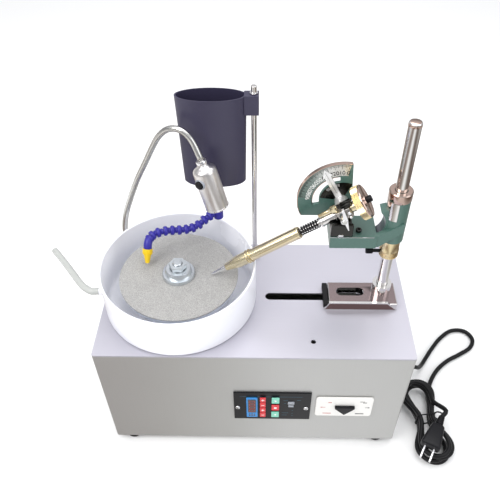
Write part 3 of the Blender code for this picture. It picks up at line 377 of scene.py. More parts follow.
# Chrome whose dark brown colour is a painted reflection, for the slide base's front and right end.
CHROME_PAINTED_DARK_BROWN_REFLECTION = polished("chrome_painted_dark_brown_reflection", (0.20, 0.13, 0.12), 0.10)
SATIN_STEEL = grained("satin_steel", (0.62, 0.62, 0.60), 0.22, 1.0, (300, 300, 2400), 0.08)
DARK_CHROME = polished("dark_chrome", (0.40, 0.38, 0.36), 0.16)
BRIGHT_STEEL = polished("bright_steel", (0.88, 0.88, 0.90), 0.12)
LAMP_CHROME = polished("lamp_chrome", (0.86, 0.84, 0.83), 0.27)
SCALE_METAL_PAINTED_HIGHLIGHT = engraved("scale_metal_painted_highlight")
BRASS_LIGHT = grained("brass_light", (0.86, 0.76, 0.52), 0.24, 1.0, (500, 500, 500), 0.05)


# ---- tools --------------------------------------------------------------------------------
def piece(name, bm, finish, body, stands_for=(), sharp=35, weighted=False):
    """Shows a finished bmesh as a piece that rides on a body."""
    mesh = bpy.data.meshes.new(name)
    bm.to_mesh(mesh)
    bm.free()
    mesh.shade_smooth()
    mesh.set_sharp_from_angle(angle=math.radians(sharp))
    made = bpy.data.objects.new(name, mesh)
    scene.collection.objects.link(made)
    for one in (finish if isinstance(finish, list) else [finish]):
        mesh.materials.append(one)
    if weighted:
        made.modifiers.new("even_shading", "WEIGHTED_NORMAL").keep_sharp = True
    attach(made, body)
    if stands_for:
        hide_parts(*stands_for)
    return made


def new_verts(bm, before):
    return [v for v in bm.verts if v not in before]


def lathe(bm, outline, steps=64, place=Matrix(), closed=False):
    """Spins (radius, height) points about local Z.  A closed outline makes a ring with a bore."""
    before = set(bm.verts)
    verts = [bm.verts.new((radius, 0, height)) for radius, height in outline]
    edges = [bm.edges.new(pair) for pair in zip(verts, verts[1:])]
    if closed:
        edges.append(bm.edges.new((verts[-1], verts[0])))
    bmesh.ops.spin(bm, geom=verts + edges, cent=(0, 0, 0), axis=(0, 0, 1), dvec=(0, 0, 0),
                   angle=math.tau, steps=steps, use_merge=True)
    bmesh.ops.remove_doubles(bm, verts=new_verts(bm, before), dist=1e-6)
    own = new_verts(bm, before)
    bmesh.ops.recalc_face_normals(bm, faces=list({f for v in own for f in v.link_faces}))
    bmesh.ops.transform(bm, matrix=place, verts=own)
    return own


def cuboid(bm, low, high, bevel=0.0, place=Matrix(), segments=2):
    """A box between two corners, with broken edges."""
    before = set(bm.verts)
    low, high = Vector(low), Vector(high)
    bmesh.ops.create_cube(bm, size=1.0)
    own = new_verts(bm, before)
    bmesh.ops.scale(bm, vec=high - low, verts=own)
    bmesh.ops.translate(bm, vec=(low + high) / 2, verts=own)
    if bevel:
        edges = list({e for v in own for e in v.link_edges})
        bmesh.ops.bevel(bm, geom=edges, offset=bevel, segments=segments, profile=0.5, affect="EDGES",
                        material=-1)
        own = new_verts(bm, before)
    bmesh.ops.transform(bm, matrix=place, verts=own)
    return own


def slab(bm, outline, low, high, place=Matrix(), bevel=0.0):
    """Extrudes a flat outline of local X, Y points along local Z."""
    before = set(bm.verts)
    face = bm.faces.new([bm.verts.new((x, y, low)) for x, y in outline])
    grown = bmesh.ops.extrude_face_region(bm, geom=[face])
    bmesh.ops.translate(bm, vec=(0, 0, high - low),
                        verts=[v for v in grown["geom"] if isinstance(v, bmesh.types.BMVert)])
    own = new_verts(bm, before)
    faces = list({f for v in own for f in v.link_faces})
    bmesh.ops.recalc_face_normals(bm, faces=faces)
    if bevel:
        top = [e for e in {e for v in own for e in v.link_edges} if all(v.co.z == high for v in e.verts)]
        bmesh.ops.bevel(bm, geom=top, offset=bevel, segments=2, profile=0.5, affect="EDGES", material=-1)
        own = new_verts(bm, before)
    bmesh.ops.transform(bm, matrix=place, verts=own)
    return own


def arc(centre, radius, start, end, count):
    """Points along an arc, in degrees, both ends included."""
    angles = [math.radians(start + (end - start) * i / count) for i in range(count + 1)]
    return [(centre[0] + radius * math.cos(a), centre[1] + radius * math.sin(a)) for a in angles]


def sector(inner, outer, start, end, count=40):
    """The outline of a ring's part."""
    return arc((0, 0), outer, start, end, count) + arc((0, 0), inner, end, start, count)


def stamp(bm, words, size, place, depth=0.00012):
    """Raised figures, centred on the place's own X, Y plane."""
    curve = bpy.data.curves.new("figures", "FONT")
    curve.body = words
    curve.size = size
    curve.align_x = "CENTER"
    curve.align_y = "CENTER"
    curve.extrude = depth
    carrier = bpy.data.objects.new("figures", curve)
    mesh = bpy.data.meshes.new_from_object(carrier)
    mesh.transform(place)
    bm.from_mesh(mesh)
    bpy.data.objects.remove(carrier)
    bpy.data.meshes.remove(mesh)
    bpy.data.curves.remove(curve)


def tidy_copy(node, broken_edge=0.0003, segments=2):
    """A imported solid's own shape with its seams merged and its sharp edges broken."""
    bm = bmesh.new()
    bm.from_mesh(frame["nodes"][node].data)
    for layer in list(bm.loops.layers.uv.values()):
        bm.loops.layers.uv.remove(layer)
    bmesh.ops.remove_doubles(bm, verts=bm.verts, dist=2e-6)
    bmesh.ops.dissolve_limit(bm, angle_limit=math.radians(0.6), verts=bm.verts, edges=bm.edges)
    if broken_edge:
        sharp = [e for e in bm.edges if len(e.link_faces) == 2 and e.calc_face_angle() > math.radians(38)]
        bmesh.ops.bevel(bm, geom=sharp, offset=broken_edge, segments=segments, profile=0.5,
                        affect="EDGES", clamp_overlap=True, material=-1)
    return bm


def dress(node, finish=None, broken_edge=0.0003, segments=2, body=None, sharp=42):
    """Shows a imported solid's tidy copy in its place."""
    slot = slot_of[node]
    return piece(node + "_finished", tidy_copy(node, broken_edge, segments), finish or finishes[slot],
                 body or body_of_node[node], [node], sharp, weighted=True)


def smooth_path(points, step):
    """Evenly spaced points along a smooth curve through the route's own points."""
    knots = [Vector(p) for p in points]
    ends = [knots[0] * 2 - knots[1]] + knots + [knots[-1] * 2 - knots[-2]]
    fine = []
    for a, b, c, d in zip(ends, ends[1:], ends[2:], ends[3:]):
        for i in range(16):
            t = i / 16
            fine.append(0.5 * ((2 * b) + (c - a) * t + (2 * a - 5 * b + 4 * c - d) * t * t
                               + (3 * b - a - 3 * c + d) * t ** 3))
    fine.append(knots[-1])
    travelled = [0.0]
    for a, b in zip(fine, fine[1:]):
        travelled.append(travelled[-1] + (b - a).length)
    count = max(2, round(travelled[-1] / step))
    out, i = [], 0
    for k in range(count + 1):
        goal = travelled[-1] * k / count
        while i < len(fine) - 2 and travelled[i + 1] < goal:
            i += 1
        share = (goal - travelled[i]) / max(travelled[i + 1] - travelled[i], 1e-9)
        out.append(fine[i].lerp(fine[i + 1], share))
    return out


def line_length(points):
    return sum((b - a).length for a, b in zip(points, points[1:]))


def cord_curve(name, points, radius, finish, sides=4, radii=None):
    """A round cord on one open spline."""
    curve = bpy.data.curves.new(name, "CURVE")
    curve.dimensions = "3D"
    curve.bevel_depth = radius
    curve.bevel_resolution = sides
    curve.use_fill_caps = True
    spline = curve.splines.new("POLY")
    spline.points.add(len(points) - 1)
    for i, (knot, place) in enumerate(zip(spline.points, points)):
        knot.co = (*place, 1.0)
        knot.radius = radii[i] if radii else 1.0
    made = bpy.data.objects.new(name, curve)
    scene.collection.objects.link(made)
    curve.materials.append(finish)
    return made


def wire(bm, points, radius, sides=3, radii=None):
    """Adds a round wire along points to a bmesh."""
    made = cord_curve("wire", points, radius, DARK_MARK, sides, radii)
    mesh = bpy.data.meshes.new_from_object(made)
    bm.from_mesh(mesh)
    curve = made.data
    bpy.data.objects.remove(made)
    bpy.data.curves.remove(curve)
    bpy.data.meshes.remove(mesh)


def ridged_ring(bm, outer, low, high, ridges, depth, place=Matrix()):
    """A disc whose rim has fine ridges along its axis."""
    rim = []
    for i in range(ridges * 2):
        a = math.tau * i / (ridges * 2)
        radius = outer - (depth if i % 2 else 0.0)
        rim.append((radius * math.cos(a), radius * math.sin(a)))
    own = slab(bm, rim, low, high, Matrix())
    chamfer = [e for e in {e for v in own for e in v.link_edges}
               if abs(e.verts[0].co.z - e.verts[1].co.z) < 1e-7]
    before = set(bm.verts) - set(own)
    bmesh.ops.bevel(bm, geom=chamfer, offset=0.0003, segments=1, profile=0.5, affect="EDGES",
                    clamp_overlap=True, material=-1)
    bmesh.ops.transform(bm, matrix=place, verts=new_verts(bm, before))


# ---- mains lead and drain hose ------------------------------------------------------------
CORD_RADIUS = 0.0032
GLAND_AT = at(0.195, 0.010, 0.032)
RELIEF_LENGTH = 0.028
HANK_CENTRE = at(0.2455, -0.0700, 0.0)
HANK_TURN = math.radians(-81.5)
HANK_HALF_RUN = 0.0400
HANK_FOLD = 0.0192
HANK_WAIST = 0.0088
HANK_FAN = [0.0, -7.0, 5.0, -3.0, 2.0]
PLUG_TURN = HANK_TURN - math.radians(38)
hank_heading = Vector((math.cos(HANK_TURN), math.sin(HANK_TURN), 0))
hank_side = Vector((-math.sin(HANK_TURN), math.cos(HANK_TURN), 0))
plug_heading = Vector((math.cos(PLUG_TURN), math.sin(PLUG_TURN), 0))


def free_route():
    """The lead's loose stretch, from the relief's end to the hank."""
    points = [(0.2336, 0.010, 0.0315), (0.2430, 0.0130, 0.0250), (0.2520, 0.0200, 0.0140),
              (0.2610, 0.0320, 0.0060), (0.2710, 0.0470, 0.0037), (0.2840, 0.0650, 0.0035),
              (0.3010, 0.0850, 0.0035), (0.3220, 0.1000, 0.0035), (0.3430, 0.0990, 0.0035),
              (0.3520, 0.0830, 0.0035), (0.3440, 0.0660, 0.0035), (0.3250, 0.0530, 0.0035),
              (0.3040, 0.0410, 0.0035), (0.2860, 0.0260, 0.0035), (0.2730, 0.0090, 0.0035),
              (0.2640, -0.0090, 0.0035)]
    return [GLAND_AT + Vector((RELIEF_LENGTH, 0, 0))] + [at(*p) for p in points]


def ease(x):
    return x * x * (3 - 2 * x)


def hank_point(u, v, layer, fan):
    """A point of the hank: u along it, v across it, on a layer of turns."""
    turn = math.radians(fan)
    u, v = u * math.cos(turn) - v * math.sin(turn), u * math.sin(turn) + v * math.cos(turn)
    height = CORD_RADIUS + 0.0003 + layer * 2 * CORD_RADIUS
    return HANK_CENTRE + hank_heading * u + hank_side * v + Vector((0, 0, height))


def hank_run(side, forwards, layer, fan, next_layer, next_fan):
    """One long run, drawn in to the tie at its middle."""
    out = []
    for i in range(10):
        x = i / 10
        u = HANK_HALF_RUN * (2 * x - 1) * (1 if forwards else -1)
        v = side * (HANK_WAIST + (HANK_FOLD - HANK_WAIST) * ease(abs(2 * x - 1)))
        share = ease(x)
        out.append(hank_point(u, v, layer + (next_layer - layer) * share, fan + (next_fan - fan) * share))
    return out


def hank_fold(end, layer, fan):
    """The round turn at one end: end is 1 at the low end and -1 at the other."""
    out = []
    for i in range(8):
        a = math.pi * i / 8
        out.append(hank_point(end * (HANK_HALF_RUN + HANK_FOLD * math.sin(a)), end * HANK_FOLD * math.cos(a),
                              layer, fan))
    return out


def make_lead():
    turns = 4
    points = free_route()
    for layer in range(turns):
        fan, next_fan = HANK_FAN[layer], HANK_FAN[layer + 1]
        last = layer == turns - 1
        points += hank_run(1, True, layer, fan, layer, fan)
        points += hank_fold(1, layer, fan)
        points += hank_run(-1, False, layer, fan, layer if last else layer + 1, next_fan)
        points += hank_fold(-1, layer if last else layer + 1, next_fan)
    top = turns - 1
    plug_at = HANK_CENTRE + hank_heading * 0.036 + Vector((-0.004, 0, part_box("plug")[0].z + 0.0075))
    entry = plug_at - plug_heading * 0.033
    points += [hank_point(-0.038, HANK_FOLD, top, 2.0), hank_point(-0.030, HANK_FOLD * 0.95, top + 0.2, 2.0),
               hank_point(-0.018, HANK_FOLD * 0.88, top + 0.8, 2.0),
               entry - plug_heading * 0.012 + hank_side * 0.002, entry, plug_at - plug_heading * 0.019]
    path = smooth_path(points, 0.0030)
    lead = cord_curve("mains_lead", path, CORD_RADIUS, finishes["rubber"])
    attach(lead, "case")
    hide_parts("power_cord", "cord_hank")

    bm = bmesh.new()
    boot = [(0, 0.0003), (0.0085, 0.0003), (0.0088, 0.0010), (0.0088, 0.0052), (0.0082, 0.0060)]
    for i in range(7):
        z = 0.0072 + i * 0.0028
        wide = 0.0064 - i * 0.00032
        boot += [(wide, z), (wide, z + 0.0013), (wide - 0.0011, z + 0.0018), (wide - 0.0011, z + 0.0024)]
    boot += [(CORD_RADIUS + 0.0008, RELIEF_LENGTH), (0, RELIEF_LENGTH)]
    lathe(bm, boot, 32, frame_at(GLAND_AT, (1, 0, 0), (0, 0, 1)))
    gland = piece("cord_relief", bm, finishes["black_plastic"], "case", ["cable_gland"])

    place = frame_at(plug_at, (0, 0, 1), plug_heading)
    bm = bmesh.new()
    body = cuboid(bm, (-0.019, -0.0135, -0.0075), (0.019, 0.0135, 0.0075))
    for v in body:
        if v.co.x < 0:
            v.co.y *= 0.62
            v.co.z *= 0.72
    bmesh.ops.bevel(bm, geom=bm.edges[:], offset=0.0034, segments=4, profile=0.5, affect="EDGES", material=-1)
    bmesh.ops.transform(bm, matrix=place, verts=bm.verts)
    sleeve = [(0, -0.0335)]
    for i in range(5):
        z = -0.0330 + i * 0.0030
        wide = 0.0042 + i * 0.00035
        sleeve += [(wide, z), (wide, z + 0.0016), (wide - 0.0008, z + 0.0019), (wide - 0.0008, z + 0.0027)]
    sleeve += [(0.0052, -0.0170), (0, -0.0170)]
    lathe(bm, sleeve, 24, frame_at(plug_at, plug_heading, (0, 0, 1)))
    blades = cuboid(bm, (0.0165, -0.0074, -0.0030), (0.0390, -0.0050, 0.0030), 0.0006, place)
    blades += cuboid(bm, (0.0165, 0.0050, -0.0030), (0.0390, 0.0074, 0.0030), 0.0006, place)
    for face in {f for v in blades for f in v.link_faces}:
        face.material_index = 1
    plug = piece("lead_plug", bm, [finishes["black_plastic"], BRIGHT_STEEL], "case", ["plug"])

    bm = bmesh.new()
    band, half, top_z = [], HANK_WAIST + CORD_RADIUS + 0.0011, 0.0272
    tie_at = HANK_CENTRE - hank_heading * 0.002
    for i in range(49):
        a = math.tau * i / 48
        across = half * math.copysign(abs(math.cos(a)) ** 0.45, math.cos(a))
        height = top_z / 2 + (top_z / 2 - 0.0009) * math.copysign(abs(math.sin(a)) ** 0.45, math.sin(a))
        band.append(tie_at + hank_side * across + Vector((0, 0, height)))
    wire(bm, band, 0.0010)
    loop = [tie_at + hank_side * (half + 0.0065 - 0.0065 * math.cos(a)) + hank_heading * 0.0060 * math.sin(a)
            + Vector((0, 0, 0.0180)) for a in (math.tau * i / 20 for i in range(21))]
    wire(bm, loop, 0.0011)
    tie = piece("lead_tie", bm, finishes["rubber"], "case")
    round(line_length(path), 2)


DRAIN_ANGLE = math.radians(182)


def make_drain_hose():
    heading = Vector((math.cos(DRAIN_ANGLE), math.sin(DRAIN_ANGLE), 0))
    start = Vector((lap_axis.x, lap_axis.y, 0.2105)) + heading * (0.0975 + 0.009 + 0.0003)
    points = [start, start + heading * 0.005, start + heading * 0.010,
              at(-0.2190, 0.0008, 0.2098), at(-0.2268, 0.0078, 0.2085), at(-0.2360, 0.0195, 0.2065),
              at(-0.2463, 0.0336, 0.2040), at(-0.2585, 0.0500, 0.2015), at(-0.2710, 0.0665, 0.1990),
              at(-0.2870, 0.0870, 0.1950)]
    path = smooth_path(points, 0.0030)
    hose = cord_curve("clear_drain_hose", path, 0.0045, finishes["clear_tube"], 6)
    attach(hose, "case")
    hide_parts("drain_hose")
    round(line_length(path), 3)


# ---- case, panel and switch ---------------------------------------------------------------
FACE_Y = -0.0975


def make_case():
    for node in ("case_shell", "rear_panel", "base_plate"):
        dress(node, broken_edge=0.0004)
    dress("top_plate", broken_edge=0.0005)
    for node in record["behaviour"]["bodies"]["case"]:
        if node.startswith("foot_"):
            dress(node, broken_edge=0.0006)
    dress("motor_body")
    dress("control_board", broken_edge=0.0002)

    bm = bmesh.new()
    for x in (-0.160, 0.0, 0.160):
        head = frame_at(at(x, 0.0979, 0.0160), (0, 1, 0), (1, 0, 0))
        lathe(bm, [(0, -0.0004), (0.0030, -0.0004), (0.0029, 0.0006), (0.0020, 0.0013), (0, 0.0015)],
              24, head)
        cuboid(bm, (-0.0017, -0.0003, 0.0010), (0.0017, 0.0003, 0.0017), 0.0, head)
    piece("rear_screws", bm, BRIGHT_STEEL, "case")


PANEL_SCREWS = ((-0.0210, 0.0915), (0.0685, 0.0910))


def make_panel():
    dress("panel_plate", broken_edge=0.0004)
    dress("display_bezel", broken_edge=0.0003)
    for node in ("key_red_1", "key_red_2", "key_red_3", "key_red_4", "key_start", "key_stop", "key_reverse"):
        dress(node, broken_edge=0.0004)
    panel_y = FACE_Y - 0.0023

    bm = bmesh.new()
    for x, z in PANEL_SCREWS:
        head = front_frame(panel_y) @ moved(x, z, 0)
        lathe(bm, [(0, 0.0001), (0.0032, 0.0001), (0.0031, 0.0006), (0.0022, 0.0015), (0.0009, 0.0018),
                   (0, 0.0018)],
              32, head)
    piece("panel_screws", bm, BRIGHT_STEEL, "case")
    bm = bmesh.new()
    for x, z in PANEL_SCREWS:
        head = front_frame(panel_y) @ moved(x, z, 0) @ Matrix.Rotation(0.6, 4, "Z")
        cuboid(bm, (-0.0018, -0.00025, 0.0016), (0.0018, 0.00025, 0.00195), 0.0, head)
        cuboid(bm, (-0.00025, -0.0018, 0.0016), (0.00025, 0.0018, 0.00195), 0.0, head)
    piece("panel_screw_slots", bm, DARK_MARK, "case")

    face = front_frame(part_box("display_bezel")[0].y - case_middle.y + 0.0001)
    bm = bmesh.new()
    window = sum((arc(centre, 0.0010, start, start + 90, 4) for centre, start in
                  (((0.0022, 0.1135), 0), ((-0.0066, 0.1135), 90), ((-0.0066, 0.0840), 180),
                   ((0.0022, 0.0840), 270))), [])
    slab(bm, window, 0, 0.0004, face, 0.0001)
    piece("display_window", bm, WINDOW, "case")
    bm = bmesh.new()
    sideways = face @ moved(-0.0022, 0.0988, 0.0005) @ spun(1 / 4)
    for i in range(4):
        digit = sideways @ moved(-0.0102 + i * 0.0068, 0, 0)
        for a, b in (((-0.0017, 0.0034), (0.0017, 0.0034)), ((-0.0017, -0.0034), (0.0017, -0.0034)),
                     ((-0.0021, -0.0031), (-0.0021, -0.0004)), ((0.0021, -0.0031), (0.0021, -0.0004)),
                     ((-0.0021, 0.0004), (-0.0021, 0.0031)), ((0.0021, 0.0004), (0.0021, 0.0031))):
            cuboid(bm, (a[0] - 0.0003, a[1] - 0.0003, 0), (b[0] + 0.0003, b[1] + 0.0003, 0.0001), 0.0, digit)
    piece("display_digits", bm, DIGIT, "case")
    bm = bmesh.new()
    for x in (-0.0054, -0.0022, 0.0010):
        for z in (0.0788, 0.0752):
            cuboid(bm, (x - 0.0011, z - 0.0011, 0), (x + 0.0011, z + 0.0011, 0.0003), 0.0001, face)
    piece("display_dots", bm, WINDOW, "case")

    arrows = {"key_red_1": "+", "key_red_2": "-", "key_red_3": "+", "key_red_4": "-"}
    for node, mark in arrows.items():
        key_mark(node, lambda bm, place: plus_or_minus(bm, place, mark == "+"), WHITE_MARK)
    key_mark("key_start", lambda bm, place: slab(bm, [(-0.0014, -0.0020), (0.0022, 0), (-0.0014, 0.0020)], 0,
                                                 0.00015, place), WHITE_MARK)
    key_mark("key_stop", lambda bm, place: cuboid(bm, (-0.0018, -0.0018, 0), (0.0018, 0.0018, 0.00015), 0.0,
                                                  place), WHITE_MARK)
    key_mark("key_reverse", lambda bm, place: slab(bm, [(0.0014, -0.0020), (0.0014, 0.0020), (-0.0022, 0)], 0,
                                                   0.00015, place), WHITE_MARK)

    plane = front_frame(panel_y)
    bm = bmesh.new()
    cuboid(bm, (0.0445, 0.1015, 0), (0.0530, 0.1075, 0.0012), 0.0005, plane)
    cuboid(bm, (0.0452, 0.0948, 0), (0.0522, 0.0992, 0.0009), 0.0004, plane)
    piece("direction_lamps", bm, GREY_PLASTIC, "case")
    bm = bmesh.new()
    cuboid(bm, (-0.0180, 0.1178, 0), (0.0630, 0.1184, 0.0001), 0.0, plane)
    for x, z, wide in ((0.0385, 0.1100, 0.006), (0.0560, 0.1108, 0.005), (0.0370, 0.0800, 0.009),
                       (0.0370, 0.0745, 0.007), (0.0500, 0.0860, 0.002), (0.0500, 0.0790, 0.002),
                       (0.0500, 0.0730, 0.002), (0.0395, 0.1030, 0.003)):
        cuboid(bm, (x, z - 0.0008, 0), (x + wide, z, 0.0001), 0.0, plane)
    piece("panel_marks", bm, BLUE_MARK, "case")


def plus_or_minus(bm, place, plus):
    cuboid(bm, (-0.0020, -0.00045, 0), (0.0020, 0.00045, 0.00015), 0.0, place)
    if plus:
        cuboid(bm, (-0.00045, -0.0020, 0.00001), (0.00045, 0.0020, 0.00016), 0.0, place)


def key_mark(node, draw, finish):
    """A printed mark on a key's face, which travels with the key."""
    low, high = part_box(node)
    centre = Vector(((low.x + high.x) / 2, low.y, (low.z + high.z) / 2))
    bm = bmesh.new()
    draw(bm, frame_at(centre, (0, -1, 0), (1, 0, 0)))
    piece(node + "_mark", bm, finish, body_of_node[node])


def make_switch():
    dress("switch_plate", broken_edge=0.0012, segments=3)
    dress("selector_knob", broken_edge=0.0008, segments=3)
    plane = front_frame(FACE_Y - 0.0028)
    bm = bmesh.new()
    for x, z, wide, tall in ((0.1395, 0.0806, 0.011, 0.0015), (0.1440, 0.1072, 0.005, 0.0012),
                             (0.1475, 0.0957, 0.0045, 0.0007), (0.1405, 0.1095, 0.0060, 0.0008)):
        cuboid(bm, (x - wide / 2, z - tall / 2, 0.0001), (x + wide / 2, z + tall / 2, 0.0002), 0.0, plane)
    slab(bm, [(0.1490, 0.0946), (0.1520, 0.0957), (0.1490, 0.0968)][::-1], 0.0001, 0.0002, plane)
    piece("switch_marks_right", bm, DARK_MARK, "case")
    bm = bmesh.new()
    for x, z, wide, tall in ((0.0965, 0.0812, 0.011, 0.0014), (0.0990, 0.1072, 0.0045, 0.0014),
                             (0.0915, 0.0957, 0.0045, 0.0007)):
        cuboid(bm, (x - wide / 2, z - tall / 2, 0.0001), (x + wide / 2, z + tall / 2, 0.0002), 0.0, plane)
    slab(bm, [(0.0895, 0.0946), (0.0895, 0.0968), (0.0865, 0.0957)][::-1], 0.0001, 0.0002, plane)
    piece("switch_marks_left", bm, RED_MARK, "case")


# ---- bowl and lap -------------------------------------------------------------------------
BOWL_RADIUS = 0.0975
BOWL_HEIGHT = 0.0595
BOWL_WALL = 0.003


def make_bowl():
    base = plate_top + 0.0003
    outer, inner, top = BOWL_RADIUS, BOWL_RADIUS - BOWL_WALL, plate_top + 0.0003 + BOWL_HEIGHT
    floor = base + BOWL_WALL
    outline = [(0.013, base), (outer - 0.003, base)]
    outline += [(x, z) for x, z in arc((outer - 0.003, base + 0.003), 0.003, -80, 0, 5)]
    rim = (outer + inner) / 2
    outline += arc((rim, top - BOWL_WALL / 2), BOWL_WALL / 2, 0, 180, 8)
    outline += arc((inner - 0.005, floor + 0.005), 0.005, 0, -90, 6)
    outline += [(0.0155, floor), (0.0155, floor + 0.020), (0.013, floor + 0.020)]
    bm = bmesh.new()
    lathe(bm, outline, 128, lap_frame, closed=True)
    spout = Vector((math.cos(DRAIN_ANGLE), math.sin(DRAIN_ANGLE), 0))
    at_wall = Vector((lap_axis.x, lap_axis.y, 0.2105))
    lathe(bm, [(0.003, inner + 0.0015), (0.0058, outer - 0.0006), (0.0056, outer + 0.0008),
               (0.0045, outer + 0.0016), (0.0045, outer + 0.009), (0.003, outer + 0.009)],
          32, frame_at(at_wall, spout, (0, 0, 1)), True)
    piece("splash_bowl_moulded", bm, finishes["bowl_white"], "case", ["splash_bowl"])

    bm = bmesh.new()
    angle = math.radians(232)
    spot = Vector((lap_axis.x + 0.0865 * math.cos(angle), lap_axis.y + 0.0865 * math.sin(angle), floor))
    lathe(bm, [(0.0009, 0.0001), (0.0030, 0.0001), (0.0028, 0.0010), (0.0018, 0.0012), (0.0009, 0.0006)], 24,
          Matrix.Translation(spot), True)
    piece("bowl_floor_screw", bm, finishes["blued_steel"], "case")


def make_lap():
    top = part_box("lap_disc")[1].z
    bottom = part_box("lap_disc")[0].z
    radius = 0.075
    bm = bmesh.new()
    lathe(bm, [(0.0063, bottom), (radius - 0.0003, bottom), (radius, bottom + 0.0003), (radius, top - 0.0003),
               (radius - 0.0003, top), (0.0063, top)], 128, lap_frame, True)
    piece("lap_disc_gritted", bm, finishes["diamond_grit"], "lap", ["lap_disc"])
    dress("platen", broken_edge=0.0005)
    dress("spindle_shaft")
    dress("lap_nut", broken_edge=0.0005)
    hub_low, hub_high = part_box("clamp_washer")
    bm = bmesh.new()
    step = hub_low.z + 0.005
    lathe(bm, [(0.0063, hub_low.z), (0.0205, hub_low.z), (0.0205, step - 0.0010), (0.0198, step),
               (0.0170, step), (0.0164, step + 0.0006), (0.0158, hub_high.z - 0.0012),
               (0.0150, hub_high.z), (0.0105, hub_high.z), (0.0100, hub_high.z - 0.0008),
               (0.0063, hub_high.z - 0.0008)], 96, lap_frame, True)
    piece("clamp_hub_turned", bm, finishes["zinc"], "lap", ["clamp_washer"])


# ---- lamp ---------------------------------------------------------------------------------
LAMP_TOP = (-0.0580, 0.0330, 0.3840)
LAMP_MOUTH = (-0.0435, 0.0250, 0.3310)
lamp_top = at(*LAMP_TOP)
lamp_down = (Vector(LAMP_MOUTH) - Vector(LAMP_TOP)).normalized()
lamp_frame = frame_at(lamp_top, lamp_down, (1, 0, 0))


def neck_route():
    return [at(*p) for p in (
        (-0.177, 0.080, 0.2110), (-0.177, 0.080, 0.2430), (-0.1708, 0.0764, 0.2726),
        (-0.1605, 0.0728, 0.3013), (-0.1458, 0.0692, 0.3364), (-0.1315, 0.0655, 0.3648),
        (-0.1195, 0.0619, 0.3889), (-0.1099, 0.0583, 0.4064), (-0.1002, 0.0547, 0.4175),
        (-0.0914, 0.0511, 0.4224), (-0.0820, 0.0475, 0.4229), (-0.0732, 0.0438, 0.4175),
        (-0.0669, 0.0402, 0.4085))] + [
        lamp_top - lamp_down * 0.0140, lamp_top - lamp_down * 0.0076]


def make_lamp():
    path = smooth_path(neck_route(), 0.00085)
    radii = [1.0 if i % 2 else 0.955 for i in range(len(path))]
    bm = bmesh.new()
    wire(bm, path, 0.00375, 4, radii)
    piece("gooseneck_coiled", bm, SATIN_STEEL, "lamp", ["gooseneck"], sharp=60)
    dress("lamp_socket", broken_edge=0.0006)

    length = (Vector(LAMP_MOUTH) - Vector(LAMP_TOP)).length
    bm = bmesh.new()
    lathe(bm, [(0, -0.0080), (0.0050, -0.0080), (0.0056, -0.0074), (0.0060, -0.0020), (0.0078, -0.0003),
               (0.0104, 0.0010), (0.0124, 0.0025), (0.0136, 0.0044), (0.0140, 0.0066),
               (0.0140, length - 0.0016), (0.0139, length - 0.0004), (0.0136, length), (0.0129, length),
               (0.0127, length - 0.0004), (0.0127, 0.0090), (0, 0.0075)], 72, lamp_frame)
    piece("lamp_head_turned", bm, LAMP_CHROME, "lamp", ["lamp_head"], sharp=50)
    dress("lamp_lens", broken_edge=0.0004)
    dress("lamp_button", broken_edge=0.0006, segments=3)
    bm = bmesh.new()
    lathe(bm, [(0.0056, -0.0082), (0.0061, -0.0082), (0.0064, -0.0075), (0.0064, -0.0045), (0.0060, -0.0040),
               (0.0056, -0.0040)], 48, lamp_frame, True)
    lathe(bm, [(0.0138, length - 0.0022), (0.01425, length - 0.0019), (0.01425, length - 0.0010),
               (0.0138, length - 0.0007)], 64, lamp_frame, True)
    piece("lamp_bands", bm, BRIGHT_STEEL, "lamp")
    across = Vector((-0.55, -0.83, 0))
    side = (across - lamp_down * across.dot(lamp_down)).normalized()
    button = frame_at(lamp_top + lamp_down * 0.016 + side * 0.0128, side, lamp_down)
    bm = bmesh.new()
    lathe(bm, [(0.0053, -0.0004), (0.0068, -0.0004), (0.0066, 0.0012), (0.0059, 0.0020), (0.0053, 0.0020)],
          40, button, True)
    piece("button_ring", bm, GREY_PLASTIC, "lamp")
    bm = bmesh.new()
    lathe(bm, [(0, length - 0.0082), (0.0040, length - 0.0082), (0.0115, length - 0.0066),
               (0.0122, length - 0.0066), (0.0122, length - 0.0090), (0, length - 0.0090)], 48, lamp_frame)
    piece("lamp_reflector", bm, BRIGHT_STEEL, "lamp")
    bm = bmesh.new()
    for i in range(6):
        spot = lamp_frame @ spun(i / 6) @ moved(0.0062, 0, length - 0.0079)
        lathe(bm, [(0, 0.0014), (0.0007, 0.0012), (0.0011, 0.0006), (0.0011, 0), (0, 0)], 16, spot)
    piece("lamp_leds", bm, LED, "lamp")


# ---- drip tank and hose -------------------------------------------------------------------
def hose_route():
    leaving = Vector((-0.66, -0.40, 0)).normalized()
    outlet = at(-0.048, 0.075, 0.279)
    return [outlet + leaving * 0.0070, outlet + leaving * 0.0120] + [at(*p) for p in (
        (-0.0660, 0.0635, 0.2760), (-0.0740, 0.0585, 0.2715), (-0.0830, 0.0545, 0.2695),
        (-0.0950, 0.0510, 0.2700), (-0.1080, 0.0475, 0.2720), (-0.1190, 0.0435, 0.2735),
        (-0.1280, 0.0385, 0.2735), (-0.1330, 0.0325, 0.2720), (-0.1350, 0.0268, 0.2685),
        (-0.1356, 0.0235, 0.2630))]


